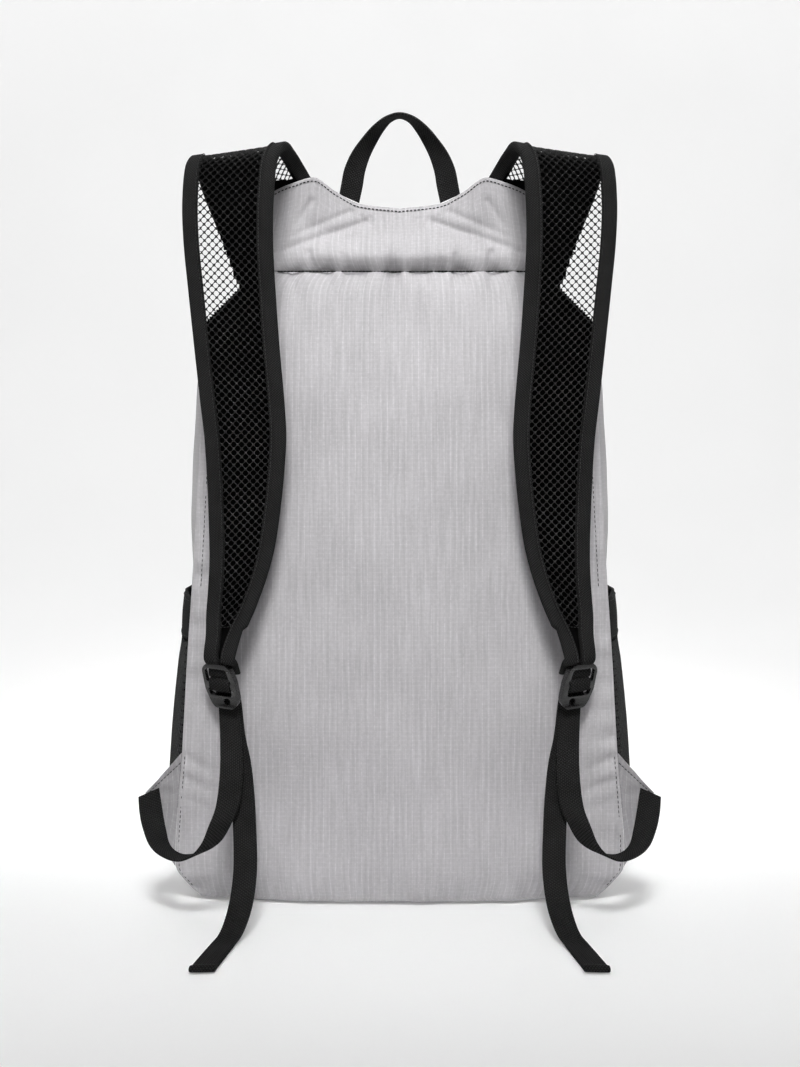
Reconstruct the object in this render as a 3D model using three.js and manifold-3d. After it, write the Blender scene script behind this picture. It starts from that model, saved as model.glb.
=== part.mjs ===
// A packable daypack standing by itself, its strap side facing -Y.
// Millimetres, +Z up, origin on the floor under the middle of the bag.
import * as THREE from 'three';
import Module from 'manifold-3d';
import { mergeVertices } from 'three/addons/utils/BufferGeometryUtils.js';

const wasm = await Module();
wasm.setup();

// Bag sizes
const BAG_HEIGHT = 486;
const BAG_HALF_WIDTH = 150;
const BAG_DEPTH = 150;
const CLOTH = 2;
const SEAM_GAP = 0.5;
const BACK_CROWN = 12;
const FRONT_CROWN = 18;
const SIDE_CROWN = 11.5;
const YOKE_SEAM = 422;
const ROLL_DEPTH = 3;
const ROLL_REACH = 9;
const ZIP_WIDTH = 7;

// Side pocket sizes
const POCKET_BOTTOM = 58;
const POCKET_TOP = 202;
const POCKET_LIFT = 10.5;
const POCKET_NET = 1.5;
const HEM_HEIGHT = 28;
const HEM_CLOTH = 2.4;

// Strap sizes
const STRAP_WIDTH = 60;
const STRAP_PAD = 5;
const BINDING_WIDTH = 10;
const BINDING_THICK = 6.4;
const STRAP_SEAM = 0.6;
const STRAP_FORE = 0.5;
const WEBBING_WIDTH = 15;
const WEBBING_THICK = 1.4;
const HAUL_THICK = 2;
const HAUL_RISE = 59.7;

// Ladder-lock buckle sizes
const BUCKLE_WIDTH = 24;
const BUCKLE_LENGTH = 31;
const BUCKLE_THICK = 3.2;
const BUCKLE_CORNER = 6;
const WINDOW_WIDTH = 16.6;
const WINDOW_TALL = 6.6;
const BAR_TALL = 4;
const BUCKLE_LEAN = 8;
const BUCKLE_PITCH = 22;
const BUCKLE_YAW = 28;
const WRAP_GAP = 0.6;
const BUCKLE_SHIFT = 3.5;

// Wing tab sizes
const WING_TOP = 99.5;
const WING_BOTTOM = 24;
const WING_REACH = 21;
const WING_GAP = 0.7;

const GREY_CLOTH = { color: 0xa5a3a6, roughness: 0.72, metalness: 0 };
const SIDE_CLOTH = { color: 0x949295, roughness: 0.75, metalness: 0 };
const BLACK_NET = { color: 0x1c1c1d, roughness: 0.92, metalness: 0 };
const BLACK_TAPE = { color: 0x232324, roughness: 0.85, metalness: 0 };
const BLACK_WEBBING = { color: 0x1f1f20, roughness: 0.8, metalness: 0 };
const BLACK_PLASTIC = { color: 0x2c2c2e, roughness: 0.3, metalness: 0 };
const ZIP_TAPE = { color: 0x202022, roughness: 0.7, metalness: 0 };

// Level sections of the bag. up is a share of the height, half of the half width, back and
// front of the depth; crown and side are shares of the swell of the faces and of the gusset.
const SECTIONS = [
  { up: 0.0, half: 0.868, back: 0.455, front: 0.455, crown: 0.0, side: 0.0 },
  { up: 0.025, half: 0.945, back: 0.485, front: 0.485, crown: 0.12, side: 0.08 },
  { up: 0.049, half: 0.994, back: 0.5, front: 0.5, crown: 0.3, side: 0.15 },
  { up: 0.073, half: 0.995, back: 0.505, front: 0.505, crown: 0.45, side: 0.2 },
  { up: 0.13, half: 0.985, back: 0.51, front: 0.51, crown: 0.7, side: 0.2 },
  { up: 0.205, half: 0.966, back: 0.51, front: 0.51, crown: 0.9, side: 0.2 },
  { up: 0.333, half: 0.944, back: 0.505, front: 0.5, crown: 1.0, side: 0.2 },
  { up: 0.43, half: 0.924, back: 0.5, front: 0.49, crown: 1.0, side: 0.5 },
  { up: 0.545, half: 0.904, back: 0.49, front: 0.46, crown: 1.0, side: 1.0 },
  { up: 0.69, half: 0.881, back: 0.465, front: 0.405, crown: 0.9, side: 1.0 },
  { up: 0.755, half: 0.862, back: 0.445, front: 0.365, crown: 0.75, side: 0.9 },
  { up: 0.804, half: 0.822, back: 0.425, front: 0.325, crown: 0.6, side: 0.7 },
  { up: 0.848, half: 0.722, back: 0.405, front: 0.28, crown: 0.45, side: 0.5 },
  { up: 0.88, half: 0.702, back: 0.385, front: 0.24, crown: 0.38, side: 0.4 },
  { up: 0.92, half: 0.68, back: 0.355, front: 0.18, crown: 0.3, side: 0.35 },
  { up: 0.95, half: 0.64, back: 0.33, front: 0.14, crown: 0.22, side: 0.3 },
  { up: 1.0, half: 0.64, back: 0.29, front: 0.07, crown: 0.1, side: 0.25 },
];

// Top edge of both faces, from the middle dip over the peak to the shoulder. across is a
// share of the shoulder's half width and up a share of the height.
const TOP_EDGE = [
  { across: 0.0, up: 0.9595 },
  { across: 0.28, up: 0.966 },
  { across: 0.45, up: 0.982 },
  { across: 0.608, up: 1.0 },
  { across: 0.75, up: 0.992 },
  { across: 0.9, up: 0.978 },
  { across: 1.0, up: 0.95 },
];
const SHOULDER = TOP_EDGE[TOP_EDGE.length - 1].up * BAG_HEIGHT;

// Main folds pressed into the back panel and yoke. x is a share of the half width, up of the
// height, long and wide are the fold's reach as shares of the height, deep is a share of
// the back crown, and lean turns the fold from upright in degrees.
const FOLDS = [
  { x: -0.035, up: 0.83, long: 0.06, wide: 0.018, deep: 0.16, lean: 2 },
  { x: 0.055, up: 0.83, long: 0.06, wide: 0.018, deep: 0.16, lean: -2 },
  { x: -0.9, up: 0.155, long: 0.05, wide: 0.02, deep: 0.3, lean: 62 },
  { x: 0.9, up: 0.155, long: 0.05, wide: 0.02, deep: 0.3, lean: -62 },
  { x: -0.86, up: 0.085, long: 0.05, wide: 0.02, deep: 0.22, lean: 78 },
  { x: 0.86, up: 0.085, long: 0.05, wide: 0.02, deep: 0.22, lean: -78 },
  { x: -0.33, up: 0.925, long: 0.04, wide: 0.014, deep: 0.14, lean: -66 },
  { x: 0.33, up: 0.925, long: 0.04, wide: 0.014, deep: 0.14, lean: 66 },
];

// A shoulder strap from its seam on the yoke, over the arch and down to the buckle. out is a
// share of the half width, up of the height, fore of the depth, wide of the strap's width;
// tilt lowers the outer side and yaw brings it forward, both in degrees.
const STRAP = [
  { out: 0.545, up: 0.918, fore: 0.355, wide: 1.44, tilt: 56, yaw: 12 },
  { out: 0.618, up: 0.966, fore: 0.4, wide: 1.24, tilt: 41, yaw: 10 },
  { out: 0.672, up: 1.006, fore: 0.48, wide: 1.13, tilt: 25, yaw: 7 },
  { out: 0.7, up: 1.028, fore: 0.575, wide: 1.05, tilt: 9, yaw: 3 },
  { out: 0.728, up: 1.012, fore: 0.645, wide: 1.0, tilt: 5, yaw: 0 },
  { out: 0.742, up: 0.958, fore: 0.68, wide: 0.99, tilt: 0, yaw: 0 },
  { out: 0.741, up: 0.9, fore: 0.685, wide: 0.97, tilt: -1, yaw: 0 },
  { out: 0.725, up: 0.83, fore: 0.68, wide: 0.945, tilt: -2, yaw: 0 },
  { out: 0.707, up: 0.765, fore: 0.675, wide: 0.93, tilt: -3, yaw: 0 },
  { out: 0.682, up: 0.685, fore: 0.67, wide: 0.92, tilt: -3, yaw: 0 },
  { out: 0.669, up: 0.635, fore: 0.665, wide: 0.89, tilt: -1, yaw: 0 },
  { out: 0.669, up: 0.58, fore: 0.66, wide: 0.83, tilt: 2, yaw: 0 },
  { out: 0.674, up: 0.534, fore: 0.655, wide: 0.78, tilt: 3, yaw: 0 },
  { out: 0.685, up: 0.483, fore: 0.65, wide: 0.71, tilt: 6, yaw: 0 },
  { out: 0.703, up: 0.444, fore: 0.655, wide: 0.65, tilt: 9, yaw: -2 },
  { out: 0.73, up: 0.405, fore: 0.665, wide: 0.56, tilt: 10, yaw: -5 },
  { out: 0.752, up: 0.376, fore: 0.68, wide: 0.435, tilt: 6, yaw: -10 },
  { out: 0.772, up: 0.342, fore: 0.7, wide: 0.37, tilt: 0, yaw: -16 },
];
const NET_SHARE = 0.94;

// Adjuster loop from the wing tab up to the buckle. out, up and fore are shares of the half
// width, height and depth; tilt and yaw turn the webbing's width as on the strap.
const ADJUSTER = [
  { out: 1.106, up: 0.154, fore: 0.556, tilt: -23, yaw: 0 },
  { out: 1.086, up: 0.134, fore: 0.595, tilt: -14, yaw: 8 },
  { out: 1.06, up: 0.116, fore: 0.66, tilt: -4, yaw: 24 },
  { out: 1.027, up: 0.1, fore: 0.72, tilt: 0, yaw: 48 },
  { out: 0.985, up: 0.094, fore: 0.765, tilt: 0, yaw: 66 },
  { out: 0.925, up: 0.091, fore: 0.795, tilt: 0, yaw: 76 },
  { out: 0.855, up: 0.098, fore: 0.81, tilt: 0, yaw: 62 },
  { out: 0.8, up: 0.11, fore: 0.81, tilt: 0, yaw: 40 },
  { out: 0.762, up: 0.129, fore: 0.795, tilt: 0, yaw: 22 },
  { out: 0.738, up: 0.148, fore: 0.75, tilt: 0, yaw: 8 },
  { out: 0.728, up: 0.18, fore: 0.705, tilt: 0, yaw: -4 },
  { out: 0.732, up: 0.222, fore: 0.65, tilt: -3, yaw: -12 },
];

// The strap webbing's way through the buckle. up is a share of the buckle's length and back
// a share of the wrap's distance from the middle bar; both follow the buckle's own axes.
const THREADING = [
  { up: -0.44, back: 1.25 },
  { up: -0.29, back: 1.1 },
  { up: -0.2, back: 0.75 },
  { up: -0.145, back: 0.0 },
  { up: -0.09, back: -0.82 },
  { up: 0.0, back: -1.0 },
  { up: 0.095, back: -0.82 },
  { up: 0.15, back: 0.0 },
  { up: 0.13, back: 0.95 },
  { up: 0.03, back: 1.5 },
  { up: -0.14, back: 2.0 },
  { up: -0.3, back: 2.35 },
  { up: -0.46, back: 2.6 },
];

// The free tail down to the floor and along it to its folded end, columns as above; thick
// is a share of the webbing's thickness.
const TAIL = [
  { out: 0.722, up: 0.235, fore: 0.6, tilt: 0, yaw: -16, thick: 1 },
  { out: 0.696, up: 0.2, fore: 0.635, tilt: 2, yaw: -8, thick: 1 },
  { out: 0.677, up: 0.16, fore: 0.685, tilt: 1, yaw: -2, thick: 1 },
  { out: 0.663, up: 0.12, fore: 0.752, tilt: 0, yaw: 0, thick: 1 },
  { out: 0.65, up: 0.075, fore: 0.855, tilt: 0, yaw: 0, thick: 1 },
  { out: 0.656, up: 0.044, fore: 0.93, tilt: 0, yaw: 2, thick: 1 },
  { out: 0.668, up: 0.026, fore: 0.985, tilt: 0, yaw: 8, thick: 1 },
  { out: 0.69, up: 0.0095, fore: 1.06, tilt: 0, yaw: 14, thick: 1 },
  { out: 0.712, up: 0.0042, fore: 1.12, tilt: 0, yaw: 12, thick: 1.6 },
  { out: 0.735, up: 0.0036, fore: 1.25, tilt: 0, yaw: 7, thick: 2 },
  { out: 0.754, up: 0.0036, fore: 1.375, tilt: 0, yaw: 4, thick: 2 },
  { out: 0.756, up: 0.0044, fore: 1.395, tilt: 0, yaw: 4, thick: 2.6 },
  { out: 0.758, up: 0.0044, fore: 1.415, tilt: 0, yaw: 4, thick: 2.6 },
];

// Half of the haul loop, from one leg's foot up to the middle. out and fore are shares of
// the half width and depth, rise is a share of the loop's rise over the yoke's edge at its
// leg; turn is how far the webbing has turned its outer side forward and lift how far its
// outer side stands above its inner one, both in degrees.
const HAUL = [
  { out: 0.232, rise: 0.04, fore: 0.262, turn: 0, lift: 24 },
  { out: 0.218, rise: 0.218, fore: 0.262, turn: 6, lift: 14 },
  { out: 0.207, rise: 0.364, fore: 0.262, turn: 18, lift: 8 },
  { out: 0.18, rise: 0.543, fore: 0.262, turn: 34, lift: 6 },
  { out: 0.141, rise: 0.707, fore: 0.262, turn: 50, lift: 6 },
  { out: 0.098, rise: 0.853, fore: 0.262, turn: 64, lift: 5 },
  { out: 0.052, rise: 0.958, fore: 0.262, turn: 78, lift: 2 },
  { out: 0.0, rise: 1.0, fore: 0.262, turn: 90, lift: 0 },
];

const radians = THREE.MathUtils.degToRad;
const vector = (x, y, z) => new THREE.Vector3(x, y, z);

/** Value of a table's column at a place, joined by a curve that never overshoots a row. */
function along(rows, key, place, by = 'up') {
  const last = rows.length - 1;
  if (place <= rows[0][by]) return rows[0][key];
  if (place >= rows[last][by]) return rows[last][key];
  const next = rows.findIndex((row) => row[by] > place);
  const secant = (n) => (rows[n + 1][key] - rows[n][key]) / (rows[n + 1][by] - rows[n][by]);
  const slope = (n) => {
    if (n === 0 || n === last) return n === 0 ? secant(0) : secant(last - 1);
    const [before, after] = [secant(n - 1), secant(n)];
    return before * after <= 0 ? 0 : (2 * before * after) / (before + after);
  };
  const [a, b] = [rows[next - 1], rows[next]];
  const span = b[by] - a[by];
  const t = (place - a[by]) / span;
  const [t2, t3] = [t * t, t * t * t];
  return (2 * t3 - 3 * t2 + 1) * a[key] + (t3 - 2 * t2 + t) * span * slope(next - 1)
    + (3 * t2 - 2 * t3) * b[key] + (t3 - t2) * span * slope(next);
}

/** A closed geometry from points and triangles, turned so that its faces point out. */
function closed(points, triangles) {
  const volume = triangles.reduce((sum, [a, b, c]) => {
    const normal = new THREE.Vector3().crossVectors(points[b], points[c]);
    return sum + points[a].dot(normal);
  }, 0);
  const facing = volume < 0 ? triangles.map(([a, b, c]) => [a, c, b]) : triangles;
  const geometry = new THREE.BufferGeometry();
  const places = points.flatMap((p) => p.toArray());
  geometry.setAttribute('position', new THREE.Float32BufferAttribute(places, 3));
  geometry.setIndex(facing.flat());
  geometry.computeVertexNormals();
  return geometry;
}

/** A wall of cloth: an outer surface over u and v, and an inner one set in from it. */
function wall(outer, inward, columns, rows) {
  const points = [];
  for (const depth of [0, 1]) {
    for (let v = 0; v <= rows; v += 1) {
      for (let u = 0; u <= columns; u += 1) {
        const place = outer(u / columns, v / rows);
        points.push(place.addScaledVector(inward(u / columns, v / rows), depth));
      }
    }
  }
  const at = (depth, u, v) => (depth * (rows + 1) + v) * (columns + 1) + u;
  const triangles = [];
  const quad = (a, b, c, d) => triangles.push([a, b, c], [a, c, d]);
  for (let v = 0; v < rows; v += 1) {
    for (let u = 0; u < columns; u += 1) {
      quad(at(0, u, v), at(0, u + 1, v), at(0, u + 1, v + 1), at(0, u, v + 1));
      quad(at(1, u, v), at(1, u, v + 1), at(1, u + 1, v + 1), at(1, u + 1, v));
    }
    quad(at(0, 0, v), at(0, 0, v + 1), at(1, 0, v + 1), at(1, 0, v));
    quad(at(0, columns, v + 1), at(0, columns, v), at(1, columns, v), at(1, columns, v + 1));
  }
  for (let u = 0; u < columns; u += 1) {
    quad(at(0, u + 1, 0), at(0, u, 0), at(1, u, 0), at(1, u + 1, 0));
    quad(at(0, u, rows), at(0, u + 1, rows), at(1, u + 1, rows), at(1, u, rows));
  }
  return closed(points, triangles);
}

/** Station of a band: its middle, the direction of its width, and its two sizes. */
const station = (middle, across, width, thick) => ({ middle, across, width, thick });

/** Stations spread evenly along a smooth curve through the given ones. */
function smoothed(stations, steps) {
  const curve = new THREE.CatmullRomCurve3(stations.map((s) => s.middle), false, 'centripetal');
  const spans = stations.length - 1;
  return Array.from({ length: steps + 1 }, (_, n) => {
    const t = n / steps;
    const first = Math.min(Math.floor(t * spans), spans - 1);
    const share = t * spans - first;
    const [a, b] = [stations[first], stations[first + 1]];
    const across = a.across.clone().lerp(b.across, share).normalize();
    const width = THREE.MathUtils.lerp(a.width, b.width, share);
    return station(curve.getPoint(t), across, width, THREE.MathUtils.lerp(a.thick, b.thick, share));
  });
}

/** A flat band through its stations; chamfer is the share of its edge that is cut off. */
function band(stations, chamfer = 0) {
  const corners = chamfer > 0
    ? [[1, chamfer], [1 - chamfer, 1], [chamfer - 1, 1], [-1, chamfer],
      [-1, -chamfer], [chamfer - 1, -1], [1 - chamfer, -1], [1, -chamfer]]
    : [[1, 1], [-1, 1], [-1, -1], [1, -1]];
  const points = stations.flatMap(({ middle, across, width, thick }, n) => {
    const before = stations[Math.max(n - 1, 0)].middle;
    const after = stations[Math.min(n + 1, stations.length - 1)].middle;
    const forward = after.clone().sub(before);
    const normal = new THREE.Vector3().crossVectors(forward, across).normalize();
    return corners.map(([side, face]) => middle.clone()
      .addScaledVector(across, side * width / 2)
      .addScaledVector(normal, face * thick / 2));
  });
  const ring = corners.length;
  const triangles = [];
  for (let n = 0; n < stations.length - 1; n += 1) {
    for (let k = 0; k < ring; k += 1) {
      const [a, b] = [n * ring + k, n * ring + (k + 1) % ring];
      triangles.push([a, b, b + ring], [a, b + ring, a + ring]);
    }
  }
  const end = (stations.length - 1) * ring;
  for (let k = 1; k < ring - 1; k += 1) {
    triangles.push([0, k + 1, k], [end, end + k, end + k + 1]);
  }
  return closed(points, triangles);
}

/** The same geometry on the other side of the bag. */
function mirrored(geometry) {
  const place = geometry.getAttribute('position');
  const across = (n) => vector(-place.getX(n), place.getY(n), place.getZ(n));
  const points = Array.from({ length: place.count }, (_, n) => across(n));
  const index = geometry.getIndex().array;
  const corners = (n) => Array.from(index.slice(3 * n, 3 * n + 3));
  const triangles = Array.from({ length: index.length / 3 }, (_, n) => corners(n));
  return closed(points, triangles);
}

const sectionAt = (key, z) => along(SECTIONS, key, z / BAG_HEIGHT);
const halfWidth = (z) => BAG_HALF_WIDTH * sectionAt('half', z);
const topHeight = (p) => BAG_HEIGHT * along(TOP_EDGE, 'up', Math.abs(p), 'across');
const FLOOR_CLOTH = CLOTH + SEAM_GAP;

/** How far the folds press a face in at a place. */
function foldDepth(x, z) {
  return FOLDS.reduce((sum, fold) => {
    const lean = radians(fold.lean);
    const [dx, dz] = [x - fold.x * BAG_HALF_WIDTH, z - fold.up * BAG_HEIGHT];
    const side = (dx * Math.cos(lean) - dz * Math.sin(lean)) / (fold.wide * BAG_HEIGHT);
    const length = (dx * Math.sin(lean) + dz * Math.cos(lean)) / (fold.long * BAG_HEIGHT);
    return sum + fold.deep * BACK_CROWN * Math.exp(-side * side - length * length);
  }, 0);
}

/** Y of the strap side's outer surface, p from -1 to 1 across it at height z. */
function backY(p, z) {
  const reach = 1 - Math.abs(p) ** 2.4;
  const fromSeam = (z - YOKE_SEAM) / ROLL_REACH;
  const dip = Math.exp(-fromSeam * fromSeam);
  const roll = Math.exp(-((fromSeam - 1.6) ** 2));
  const pressed = (ROLL_DEPTH * (dip - roll) + foldDepth(p * halfWidth(z), z)) * reach;
  return -BAG_DEPTH * sectionAt('back', z) - BACK_CROWN * sectionAt('crown', z) * reach + pressed;
}

/** Y of the front side's outer surface. */
function frontY(p, z) {
  const reach = 1 - Math.abs(p) ** 2.4;
  return BAG_DEPTH * sectionAt('front', z) + FRONT_CROWN * sectionAt('crown', z) * reach;
}

/** A face of the bag between two heights that vary across it. */
function faceWall(surface, inward, low, high, columns, rows) {
  const outer = (u, v) => {
    const p = 2 * u - 1;
    const z = THREE.MathUtils.lerp(low(p), high(p), v);
    return vector(p * halfWidth(z), surface(p, z), z);
  };
  return wall(outer, () => vector(0, inward * CLOTH, 0), columns, rows);
}

// Both faces and the gusset over the top share their columns, so their seams run together.
const COLUMNS = 22;
const buildBackPanel = () => faceWall(backY, 1, () => FLOOR_CLOTH, () => YOKE_SEAM, COLUMNS, 18);
const buildYoke = () => faceWall(backY, 1, () => YOKE_SEAM + SEAM_GAP, topHeight, COLUMNS, 6);
const buildFrontPanel = () => faceWall(frontY, -1, () => FLOOR_CLOTH, topHeight, COLUMNS, 12);

/** Edge of both faces: t runs 0 to 1 up one side, to 3 over the top, to 4 down the other. */
function edgeAt(t) {
  if (t > 2) {
    const other = edgeAt(4 - t);
    return { x: -other.x, z: other.z, p: -other.p };
  }
  if (t <= 1) {
    const z = THREE.MathUtils.lerp(FLOOR_CLOTH, SHOULDER, t);
    return { x: halfWidth(z), z, p: 1 };
  }
  const p = 2 - t;
  return { x: p * halfWidth(SHOULDER), z: topHeight(p), p };
}

/** Direction that points out of the bag at that edge, seen from the front. */
function edgeOut(t) {
  const [a, b] = [edgeAt(Math.max(t - 0.03, 0)), edgeAt(t + 0.03)];
  return vector(b.z - a.z, 0, a.x - b.x).normalize();
}

/** Place on the gusset's outer surface, w from 0 at the strap side to 1 at the front side. */
function gussetAt(t, w) {
  const { x, z, p } = edgeAt(t);
  const inset = CLOTH + SEAM_GAP;
  const y = THREE.MathUtils.lerp(backY(p, z) + inset, frontY(p, z) - inset, w);
  const swell = SIDE_CROWN * sectionAt('side', z) * Math.sin(Math.PI * w);
  return vector(x, y, z).addScaledVector(edgeOut(t), swell);
}

/** A stretch of the gusset's wall between two places on its edge. */
function gussetWall(from, to, wFrom, wTo, columns, rows) {
  const place = (v) => THREE.MathUtils.lerp(from, to, v);
  const outer = (u, v) => gussetAt(place(v), THREE.MathUtils.lerp(wFrom, wTo, u));
  return wall(outer, (u, v) => edgeOut(place(v)).multiplyScalar(-CLOTH), columns, rows);
}

// The gusset's side stretch ends at the shoulder, and the zip runs over the top between.
const SHOULDER_END = 1 - SEAM_GAP / (SHOULDER - FLOOR_CLOTH);
const TOP_DEPTH = gussetAt(2, 1).y - gussetAt(2, 0).y;
const ZIP_HALF = ZIP_WIDTH / 2 / TOP_DEPTH;
const ZIP_PLACE = 0.36;
const ZIP_GAP = SEAM_GAP / TOP_DEPTH;

const buildSidePanel = () => gussetWall(0, SHOULDER_END, 0, 1, 6, 12);
const buildTopBack = () => gussetWall(1, 3, 0, ZIP_PLACE - ZIP_HALF - ZIP_GAP, 2, COLUMNS);
const buildZip = () => gussetWall(1, 3, ZIP_PLACE - ZIP_HALF, ZIP_PLACE + ZIP_HALF, 1, COLUMNS);
const buildTopFront = () => gussetWall(1, 3, ZIP_PLACE + ZIP_HALF + ZIP_GAP, 1, 3, COLUMNS);

/** The flat floor of the bag, cut to the bottom edges of the faces. */
function buildBase() {
  const steps = 12;
  const half = halfWidth(FLOOR_CLOTH);
  const shares = Array.from({ length: steps + 1 }, (_, n) => (2 * n) / steps - 1);
  const outline = [
    ...shares.map((p) => new THREE.Vector2(p * half, backY(p, FLOOR_CLOTH))),
    ...shares.map((p) => new THREE.Vector2(-p * half, frontY(-p, FLOOR_CLOTH))),
  ];
  const plain = { depth: CLOTH, bevelEnabled: false };
  const geometry = new THREE.ExtrudeGeometry(new THREE.Shape(outline), plain);
  return fromManifold(toManifold(geometry));
}

/** A stretch of the side pocket: lift from the side panel, closed round three edges. */
function pocketWall(low, high, thick, columns, rows) {
  const place = (v) => (THREE.MathUtils.lerp(low, high, v) - FLOOR_CLOTH) / (SHOULDER - FLOOR_CLOTH);
  const outer = (u, v) => {
    const z = THREE.MathUtils.lerp(low, high, v);
    const rise = Math.sin(Math.PI / 2 * Math.min((z - POCKET_BOTTOM) / (POCKET_TOP - POCKET_BOTTOM) * 3, 1));
    const lift = POCKET_LIFT * rise * Math.sin(Math.PI * u) ** 0.7 + SEAM_GAP + thick;
    const w = THREE.MathUtils.lerp(0.035, 0.965, u);
    return gussetAt(place(v), w).addScaledVector(edgeOut(place(v)), lift);
  };
  return wall(outer, (u, v) => edgeOut(place(v)).multiplyScalar(-thick), columns, rows);
}

const HEM_FOOT = POCKET_TOP - HEM_HEIGHT;
const buildPocketNet = () => pocketWall(POCKET_BOTTOM, HEM_FOOT - SEAM_GAP, POCKET_NET, 10, 7);
const buildPocketHem = () => pocketWall(HEM_FOOT, POCKET_TOP, HEM_CLOTH, 10, 2);

/** Direction of a band's width from its tilt and yaw. */
function acrossOf({ tilt, yaw }) {
  const [a, b] = [radians(tilt), radians(yaw)];
  return vector(Math.cos(a) * Math.cos(b), -Math.sin(b), -Math.sin(a) * Math.cos(b));
}

const placeOf = ({ out, up, fore }) => vector(out * BAG_HALF_WIDTH, -fore * BAG_DEPTH, up * BAG_HEIGHT);

const strapStations = smoothed(STRAP.map((row) => station(
  placeOf(row), acrossOf(row), row.wide * STRAP_WIDTH, STRAP_PAD,
)), 34);

/** The part of the strap between two sides, given by functions of its width. */
function strapStrip(low, high, thick, until = 1) {
  const kept = strapStations.slice(0, Math.round(until * (strapStations.length - 1)) + 1);
  return kept.map(({ middle, across, width }) => {
    const [a, b] = [low(width), high(width)];
    return station(middle.clone().addScaledVector(across, (a + b) / 2), across, b - a, thick);
  });
}

const bindingWidth = (width) => Math.min(BINDING_WIDTH, width / 2 - SEAM_GAP / 2);
const netHalf = (width) => width / 2 - BINDING_WIDTH - SEAM_GAP;

/** Manifold solid of a closed geometry. */
function toManifold(geometry) {
  const plain = geometry.clone();
  plain.deleteAttribute('normal');
  plain.deleteAttribute('uv');
  const merged = mergeVertices(plain, 1e-4);
  return new wasm.Manifold(new wasm.Mesh({
    numProp: 3,
    vertProperties: Float32Array.from(merged.getAttribute('position').array),
    triVerts: Uint32Array.from(merged.getIndex().array),
  }));
}

/** Geometry of a manifold solid. */
function fromManifold(body) {
  const { vertProperties, triVerts } = body.getMesh();
  const geometry = new THREE.BufferGeometry();
  geometry.setAttribute('position', new THREE.BufferAttribute(Float32Array.from(vertProperties), 3));
  geometry.setIndex(Array.from(triVerts));
  geometry.computeVertexNormals();
  return geometry;
}

/** A strap strip cut off where it meets the bag's outline, with its seam's gap. */
function sewnToBag(geometry) {
  const steps = 40;
  const outline = Array.from({ length: steps + 1 }, (_, n) => {
    const t = THREE.MathUtils.lerp(0.7, 2.2, n / steps);
    const { x, z } = edgeAt(t);
    const out = edgeOut(t).multiplyScalar(SEAM_GAP + STRAP_SEAM);
    return new THREE.Vector2(x + out.x, z + out.z);
  });
  outline.push(new THREE.Vector2(0, SHOULDER / 2));
  const plain = { depth: BAG_DEPTH, bevelEnabled: false };
  const head = new THREE.ExtrudeGeometry(new THREE.Shape(outline), plain);
  head.rotateX(Math.PI / 2);
  head.translate(0, BAG_DEPTH - STRAP_FORE * BAG_DEPTH, 0);
  return fromManifold(toManifold(geometry).subtract(toManifold(head)));
}

const buildStrapNet = () => sewnToBag(band(strapStrip((w) => -netHalf(w), netHalf, STRAP_PAD, NET_SHARE)));
const buildOuterBinding = () => sewnToBag(band(
  strapStrip((w) => w / 2 - bindingWidth(w), (w) => w / 2, BINDING_THICK), 0.35,
));
const buildInnerBinding = () => sewnToBag(band(
  strapStrip((w) => -w / 2, (w) => bindingWidth(w) - w / 2, BINDING_THICK), 0.35,
));

// The buckle's own frame: X across, Z along it, Y from its front to its back.
const strapEnd = strapStations[strapStations.length - 1];
const WINDOW_TOP = BAR_TALL / 2 + WINDOW_TALL;
const END_LOOP_REACH = 4.4;
const END_LOOP_TOP = 1.7;
const buckleFrame = (() => {
  const [lean, pitch, yaw] = [BUCKLE_LEAN, BUCKLE_PITCH, BUCKLE_YAW].map(radians);
  const up = vector(Math.sin(lean) * Math.cos(pitch), -Math.sin(pitch), Math.cos(lean) * Math.cos(pitch));
  const side = new THREE.Vector3().crossVectors(vector(0, 1, 0), up).normalize();
  const turned = side.applyAxisAngle(up, yaw);
  const back = new THREE.Vector3().crossVectors(up, turned);
  const middle = strapEnd.middle.clone().addScaledVector(up, -(BUCKLE_LENGTH / 2 + END_LOOP_REACH));
  middle.addScaledVector(turned, BUCKLE_SHIFT);
  return new THREE.Matrix4().makeBasis(turned, back, up).setPosition(middle);
})();

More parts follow.
